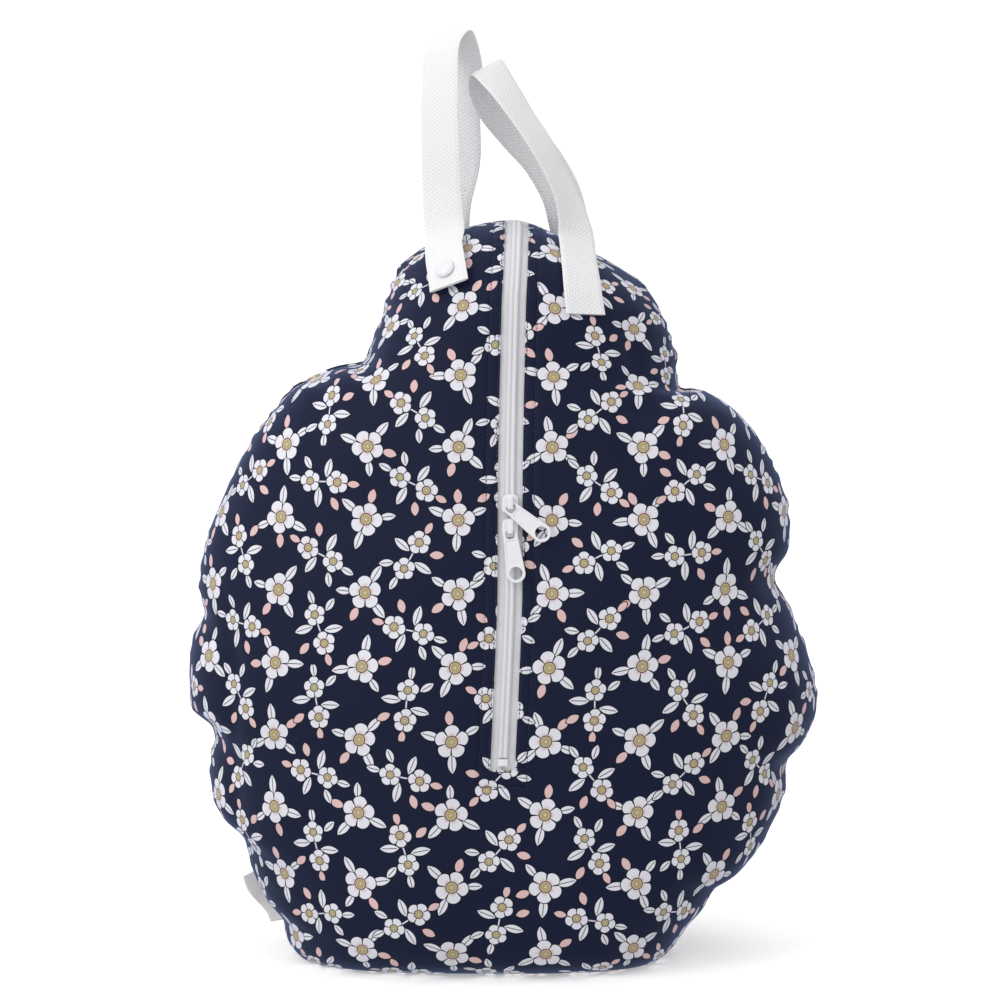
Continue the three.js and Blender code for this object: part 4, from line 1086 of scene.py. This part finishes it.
printCloth = {
    "ground": shade(15, 22, 50),
    "white": shade(226, 226, 235),
    "pink": shade(222, 188, 188),
    "tan": shade(216, 205, 170),
    "tanDark": shade(176, 161, 122),
    "ink": shade(13, 14, 22),
    "cell": (56.0, 44.0),       # mm, each lattice's own repeat
    "outline": 0.6,             # mm
    # centre, angle, half length and half width, mm
    "flowerLeaves": [(-10.4, -8.1, 0.66, 6.2, 2.6), (10.9, -7.2, 2.56, 6.0, 2.5),
                     (1.5, 13.4, 1.45, 4.8, 2.2)],
    "flowerBuds": [(-12.6, 6.8, 2.65, 4.4, 2.4)],
    "sprigLeaves": [(-3.0, 8.6, 2.1, 5.8, 2.4), (4.4, -8.8, -0.9, 6.0, 2.5), (-15.2, -11.6, 0.7, 4.4, 2.0),
                    (-15.6, 1.2, 2.9, 4.4, 2.1)],
    "sprigBuds": [(14.8, -4.2, -0.35, 4.2, 2.3), (15.4, 12.6, 0.7, 3.8, 2.0)],
}


def printMaterial(name, shiftU, shiftV):
    p = printCloth
    material, tree, shader = newMaterial(name, Roughness=0.6, Sheen_Weight=0.3, Sheen_Roughness=0.4)
    shader.inputs["Sheen Tint"].default_value = (0.25, 0.42, 1, 1)
    shader.inputs["Specular IOR Level"].default_value = 0.16
    node, maths, mixed = makeTerms(tree)
    add, sub, mul, div = (lambda a, b, k=k: maths(k, a, b) for k in ("ADD", "SUBTRACT", "MULTIPLY", "DIVIDE"))
    one = lambda a, k: maths(k, a)
    uv = node("ShaderNodeUVMap", uv_map="clothLength")
    parts = node("ShaderNodeSeparateXYZ")
    tree.links.new(uv.outputs[0], parts.inputs[0])
    across, up = add(parts.outputs[0], shiftU), add(parts.outputs[1], shiftV)
    wide, high = p["cell"]

    def motifPlace(offsetColumn, offsetRow, seed):
        column = div(add(across, offsetColumn), wide)
        row = div(add(up, offsetRow), high)
        cellX, cellY = one(column, "FLOOR"), one(row, "FLOOR")
        join = node("ShaderNodeCombineXYZ")
        tree.links.new(cellX, join.inputs[0])
        tree.links.new(cellY, join.inputs[1])
        join.inputs[2].default_value = seed
        random = node("ShaderNodeTexWhiteNoise")
        tree.links.new(join.outputs[0], random.inputs[0])
        turn = mul(random.outputs["Value"], 2 * math.pi)
        x = mul(sub(sub(column, cellX), 0.5), wide)
        y = mul(sub(sub(row, cellY), 0.5), high)
        c, s = one(turn, "COSINE"), one(turn, "SINE")
        return sub(mul(x, c), mul(y, s)), add(mul(x, s), mul(y, c))

    def length(x, y):
        return one(add(mul(x, x), mul(y, y)), "SQRT")

    def cover(inside, soft=0.22):
        return maths("ADD", div(inside, soft), 0.5, clamp=True)

    def petals(x, y, count, radius, notch):
        r = length(x, y)
        angle = maths("ARCTAN2", y, x)
        lobe = one(one(mul(angle, count / 2), "COSINE"), "ABSOLUTE")
        edge = mul(add(mul(one(lobe, "SQRT"), notch), 1 - notch), radius)
        return sub(edge, r), r, lobe

    def leaf(x, y, cx, cy, angle, halfLength, halfWidth):
        c, s = math.cos(angle), math.sin(angle)
        dx, dy = sub(x, cx), sub(y, cy)
        a = add(mul(dx, c), mul(dy, s))
        b = sub(mul(dy, c), mul(dx, s))
        radius = (halfLength ** 2 + halfWidth ** 2) / (2 * halfWidth)
        return sub(radius, length(a, add(one(b, "ABSOLUTE"), radius - halfWidth))), b

    colour = p["ground"]

    def paint(under, inside, fill, line=None):
        line = p["outline"] if line is None else line
        inked = mixed(cover(add(inside, line)), under, p["ink"])
        return mixed(cover(inside), inked, fill)

    def flower(under, x, y, count, radius, notch, fill, heart, blushFill):
        inside, r, lobe = petals(x, y, count, radius, notch)
        made = paint(under, inside, fill)
        rays = mul(cover(sub(mul(sub(0.2, lobe), r), 0.25 * radius / 12)), cover(sub(radius * 0.8, r)))
        made = mixed(rays, made, p["ink"])
        if blushFill:
            streaks = cover(sub(mul(lobe, radius * 0.2), sub(r, heart + 0.4)), 1.4)
            blush = mul(streaks, cover(sub(radius * 0.55, r), 0.8))
            made = mixed(mul(blush, 0.7), made, blushFill)
        made = paint(made, sub(heart, r), p["tan"])
        return mixed(cover(sub(heart * 0.35, one(sub(r, heart * 0.55), "ABSOLUTE")), 0.3), made, p["tanDark"])

    def leaves(under, x, y, rows, fill, vein=True):
        for cx, cy, angle, halfLength, halfWidth in rows:
            inside, b = leaf(x, y, cx, cy, angle, halfLength, halfWidth)
            under = paint(under, inside, fill)
            if vein:
                line = mul(cover(sub(0.24, one(b, "ABSOLUTE"))), cover(sub(inside, 0.7)))
                under = mixed(line, under, p["ink"])
        return under

    # two lattices, each in the other's gaps: single flowers, and sprigs with two blossoms
    x, y = motifPlace(0, 0, 1.0)
    colour = leaves(colour, x, y, p["flowerLeaves"], p["white"])
    colour = leaves(colour, x, y, p["flowerBuds"], p["pink"], False)
    colour = flower(colour, x, y, 5, 10.0, 0.36, p["white"], 3.2, p["pink"])
    x, y = motifPlace(wide / 2, high / 2, 5.0)
    along = add(mul(x, math.cos(0.75)), mul(y, math.sin(0.75)))
    beside = sub(mul(y, math.cos(0.75)), mul(x, math.sin(0.75)))
    bow = sub(beside, mul(mul(along, along), 0.012))
    stem = mul(cover(sub(0.4, one(bow, "ABSOLUTE"))), cover(sub(14, one(along, "ABSOLUTE"))))
    colour = mixed(stem, colour, p["white"])
    colour = leaves(colour, x, y, p["sprigLeaves"], p["white"])
    colour = leaves(colour, x, y, p["sprigBuds"], p["pink"], False)
    colour = flower(colour, add(x, 6.4), add(y, 5.6), 5, 6.6, 0.3, p["white"], 2.1, None)
    colour = flower(colour, sub(x, 7.2), sub(y, 6.4), 5, 7.0, 0.3, p["white"], 2.2, p["pink"])

    tone = node("ShaderNodeTexNoise")
    tone.inputs["Scale"].default_value = 9.0
    tone.inputs["Detail"].default_value = 3.0
    place = node("ShaderNodeTexCoord")
    tree.links.new(place.outputs["Object"], tone.inputs["Vector"])
    shift = node("ShaderNodeMapRange")
    shift.inputs["To Min"].default_value = 0.86
    shift.inputs["To Max"].default_value = 1.12
    tree.links.new(tone.outputs["Fac"], shift.inputs["Value"])
    graded = node("ShaderNodeMix", data_type="RGBA", blend_type="MULTIPLY")
    graded.inputs["Factor"].default_value = 1.0
    tree.links.new(colour, graded.inputs[6])
    tree.links.new(shift.outputs[0], graded.inputs[7])
    tree.links.new(graded.outputs[2], shader.inputs["Base Color"])

    # fine knit: narrow wales crossed by shorter courses
    wale = one(mul(parts.outputs[0], 2 * math.pi / 0.75), "SINE")
    course = one(add(mul(parts.outputs[1], 2 * math.pi / 0.62), mul(wale, 0.9)), "SINE")
    grain = node("ShaderNodeTexNoise")
    grain.inputs["Scale"].default_value = 900.0
    tree.links.new(place.outputs["Object"], grain.inputs["Vector"])
    height = add(mul(wale, 0.35), add(mul(course, 0.35), mul(grain.outputs["Fac"], 0.8)))
    bump = node("ShaderNodeBump")
    bump.inputs["Strength"].default_value = 0.22
    bump.inputs["Distance"].default_value = 0.00012
    tree.links.new(height, bump.inputs["Height"])
    tree.links.new(bump.outputs[0], shader.inputs["Normal"])
    sheenMap = node("ShaderNodeMapRange")
    sheenMap.inputs["To Min"].default_value = 0.54
    sheenMap.inputs["To Max"].default_value = 0.7
    tree.links.new(tone.outputs["Fac"], sheenMap.inputs["Value"])
    tree.links.new(sheenMap.outputs[0], shader.inputs["Roughness"])
    return material


def wovenMaterial(name, light, dark, pitchU, pitchV, diagonal, relief, rough, sheen=0.15):
    material, tree, shader = newMaterial(name, Roughness=rough, Sheen_Weight=sheen, Sheen_Roughness=0.5)
    shader.inputs["Specular IOR Level"].default_value = 0.3
    node, maths, mixed = makeTerms(tree)
    uv = node("ShaderNodeUVMap", uv_map="clothLength")
    parts = node("ShaderNodeSeparateXYZ")
    tree.links.new(uv.outputs[0], parts.inputs[0])
    u = maths("MULTIPLY", parts.outputs[0], (2 if diagonal else 1) * math.pi / pitchU)
    v = maths("MULTIPLY", parts.outputs[1], 2 * math.pi / pitchV)
    if diagonal:
        rib = maths("SINE", maths("ADD", u, v))
        cross = maths("SINE", maths("MULTIPLY", v, 2.0))
        weave = maths("ADD", maths("MULTIPLY", rib, 0.7), maths("MULTIPLY", cross, 0.3))
    else:
        column = maths("SINE", u)           # warp columns, every second one half a float on
        floats = maths("MULTIPLY", column, maths("SINE", v))
        grooves = maths("MULTIPLY", maths("ABSOLUTE", column), 0.6)
        weave = maths("ADD", grooves, maths("MULTIPLY", floats, 0.5))
    place = node("ShaderNodeTexCoord")
    grain = node("ShaderNodeTexNoise")
    grain.inputs["Scale"].default_value = 1400.0
    tree.links.new(place.outputs["Object"], grain.inputs["Vector"])
    height = maths("ADD", weave, maths("MULTIPLY", grain.outputs["Fac"], 0.5))
    shift = node("ShaderNodeMapRange")
    for socket, value in (("From Min", -0.7), ("From Max", 1.3)):
        shift.inputs[socket].default_value = value
    tree.links.new(height, shift.inputs["Value"])
    # painted shade: the darker colour falls where the weave lies low, in its hollows, with random grain mixed
    # in
    tree.links.new(mixed(shift.outputs[0], dark, light), shader.inputs["Base Color"])
    bump = node("ShaderNodeBump")
    bump.inputs["Strength"].default_value = 0.8
    bump.inputs["Distance"].default_value = relief
    tree.links.new(height, bump.inputs["Height"])
    tree.links.new(bump.outputs[0], shader.inputs["Normal"])
    return material


def enamelMaterial(name, light, dark, rough, coat, scale=260.0):
    material, tree, shader = newMaterial(name, Roughness=rough, Coat_Weight=coat, Coat_Roughness=0.12)
    node, maths, mixed = makeTerms(tree)
    place = node("ShaderNodeTexCoord")
    grain = node("ShaderNodeTexNoise")
    grain.inputs["Scale"].default_value = scale
    grain.inputs["Detail"].default_value = 3.0
    tree.links.new(place.outputs["Object"], grain.inputs["Vector"])
    tree.links.new(mixed(grain.outputs["Fac"], dark, light), shader.inputs["Base Color"])
    spread = node("ShaderNodeMapRange")
    spread.inputs["To Min"].default_value = rough - 0.06
    spread.inputs["To Max"].default_value = rough + 0.1
    tree.links.new(grain.outputs["Fac"], spread.inputs["Value"])
    tree.links.new(spread.outputs[0], shader.inputs["Roughness"])
    bump = node("ShaderNodeBump")
    bump.inputs["Strength"].default_value = 0.15
    bump.inputs["Distance"].default_value = 0.00008
    tree.links.new(grain.outputs["Fac"], bump.inputs["Height"])
    tree.links.new(bump.outputs[0], shader.inputs["Normal"])
    return material


frontPrint = printMaterial("printedClothFront", 3.0, 9.0)
backPrint = printMaterial("printedClothBack", 19.0, 9.0)
# weave colour and painted shade in the weave's hollows, pitch across and along in mm, diagonal or not,
# relief, roughness
tapeTwill = wovenMaterial("tapeTwill", shade(240, 240, 243), shade(208, 208, 214),
                          1.3, 1.1, True, 0.00012, 0.75)
chainWeave = wovenMaterial("chainWeave", shade(236, 236, 239), shade(208, 208, 214),
                           1.6, 1.3, True, 0.00006, 0.55)
webbingWeave = wovenMaterial("webbingWeave", shade(248, 248, 249), shade(216, 216, 220),
                             1.8, 2.5, False, 0.0003, 0.8)
labelSatin = wovenMaterial("labelSatin", shade(240, 238, 240), shade(214, 208, 212),
                           0.45, 0.45, True, 0.00003, 0.42, 0.3)
navyThread = enamelMaterial("navyThread", shade(44, 52, 84), shade(20, 24, 44), 0.65, 0, 2400)
whiteEnamel = enamelMaterial("whiteEnamel", shade(240, 240, 243), shade(226, 226, 231), 0.3, 0.4)
snapPlastic = enamelMaterial("snapPlastic", shade(238, 237, 240), shade(226, 224, 229), 0.34, 0.25, 180.0)
print("materials")

addPiece(frontCloth, "bag", "print_cloth", frontPrint, "front_panel")
addPiece(backCloth, "bag", "print_cloth", backPrint, "back_panel")
addPiece(slitStitches, "bag", "print_cloth", navyThread)
addPiece(tapeLeft, "bag", "zipper_tape", tapeTwill, "zipper_tape_left")
addPiece(tapeRight, "bag", "zipper_tape", tapeTwill, "zipper_tape_right")
addPiece(chainUpper, "bag", "zipper_coil", chainWeave, "zipper_coil_upper")
addPiece(chainLower, "bag", "zipper_coil", chainWeave, "zipper_coil_lower")
addPiece(bottomStop, "bag", "enamel", snapPlastic, "zipper_bottom_stop")
addPiece(sliderUpper, "bag", "enamel", whiteEnamel, "slider_upper")
addPiece(sliderLower, "bag", "enamel", whiteEnamel, "slider_lower")
addPiece(pullUpper, "upper_pull", "enamel", whiteEnamel, "pull_upper")
addPiece(pullLower, "lower_pull", "enamel", whiteEnamel, "pull_lower")
addPiece(strapLeft, "bag", "webbing", webbingWeave, "strap_left")
addPiece(strapRight, "bag", "webbing", webbingWeave, "strap_right")
addPiece(snapCap, "bag", "snap_plastic", snapPlastic, "snap_cap")
addPiece(snapSocket, "bag", "snap_plastic", snapPlastic, "snap_socket")
addPiece(snapStud, "bag", "snap_plastic", snapPlastic, "snap_stud")
addPiece(tab, "bag", "label_satin", labelSatin, "side_label")
print("pieces ride on their bodies")


# Pale floor, and soft studio light that falls off downwards and to the right

studio = {"floor": 6.0, "bend": 0.9, "key": 18, "fill": 0.4, "top": 3, "bright": 0.96, "dim": 0.56}

floorProfile = [(-studio["floor"] / 2, 0.0), (1.6, 0.0)]
for step in range(1, 13):
    angle = step / 12 * math.pi / 2
    floorProfile.append((1.6 + studio["bend"] * math.sin(angle), studio["bend"] * (1 - math.cos(angle))))
floorProfile.append((1.6 + studio["bend"], 4.0))
floorPoints = [(x, y, z - 0.0004) for y, z in floorProfile for x in (-3.5, 3.5)]
floorFaces = [(2 * i, 2 * i + 1, 2 * i + 3, 2 * i + 2) for i in range(len(floorProfile) - 1)]
studioFloor = newMesh("studioFloor", floorPoints, floorFaces)
floorPaint, _, floorShader = newMaterial("floorPaint", Roughness=0.9)
floorShader.inputs["Base Color"].default_value = (0.93, 0.93, 0.93, 1)
floorShader.inputs["Emission Color"].default_value = (1, 1, 1, 1)
floorShader.inputs["Emission Strength"].default_value = 0.35
studioFloor.data.materials.append(floorPaint)
studioFloor.visible_diffuse = False     # the bag is lit from below by the dim air instead
studioFloor.visible_glossy = False


def softLight(name, place, target, size, power):
    lamp = bpy.data.lights.new(name, "AREA")
    lamp.shape, lamp.size, lamp.energy = "DISK", size, power
    obj = bpy.data.objects.new(name, lamp)
    bpy.context.collection.objects.link(obj)
    obj.location = place
    obj.rotation_euler = (Vector(target) - Vector(place)).to_track_quat("-Z", "Y").to_euler()
    return obj


softLight("keyLight", (-1.7, -1.5, 1.7), (0, 0, 0.28), 1.2, studio["key"])
softLight("fillLight", (1.9, -1.5, 1.0), (0, 0, 0.25), 1.6, studio["fill"])
softLight("topLight", (0.2, 0.5, 2.4), (0, 0, 0.3), 1.6, studio["top"])
world = bpy.data.worlds.new("studioAir")
bpy.context.scene.world = world
world.use_nodes = True
airTree = world.node_tree
direction = airTree.nodes.new("ShaderNodeTexCoord")
towards = airTree.nodes.new("ShaderNodeVectorMath")
towards.operation = "DOT_PRODUCT"
towards.inputs[1].default_value = (-0.5, -0.2, 0.8)     # brightest above and to the left
airTree.links.new(direction.outputs["Generated"], towards.inputs[0])
brightness = airTree.nodes.new("ShaderNodeMapRange")
brightness.interpolation_type = "SMOOTHSTEP"
airRange = {"From Min": -0.8, "From Max": 0.7, "To Min": studio["dim"], "To Max": studio["bright"]}
for socket, value in airRange.items():
    brightness.inputs[socket].default_value = value
airTree.links.new(towards.outputs["Value"], brightness.inputs["Value"])
air = airTree.nodes["Background"]
air.inputs["Color"].default_value = (1, 1, 1, 1)
airTree.links.new(brightness.outputs[0], air.inputs["Strength"])
bpy.context.scene.view_settings.view_transform = "Standard"
print("studio")
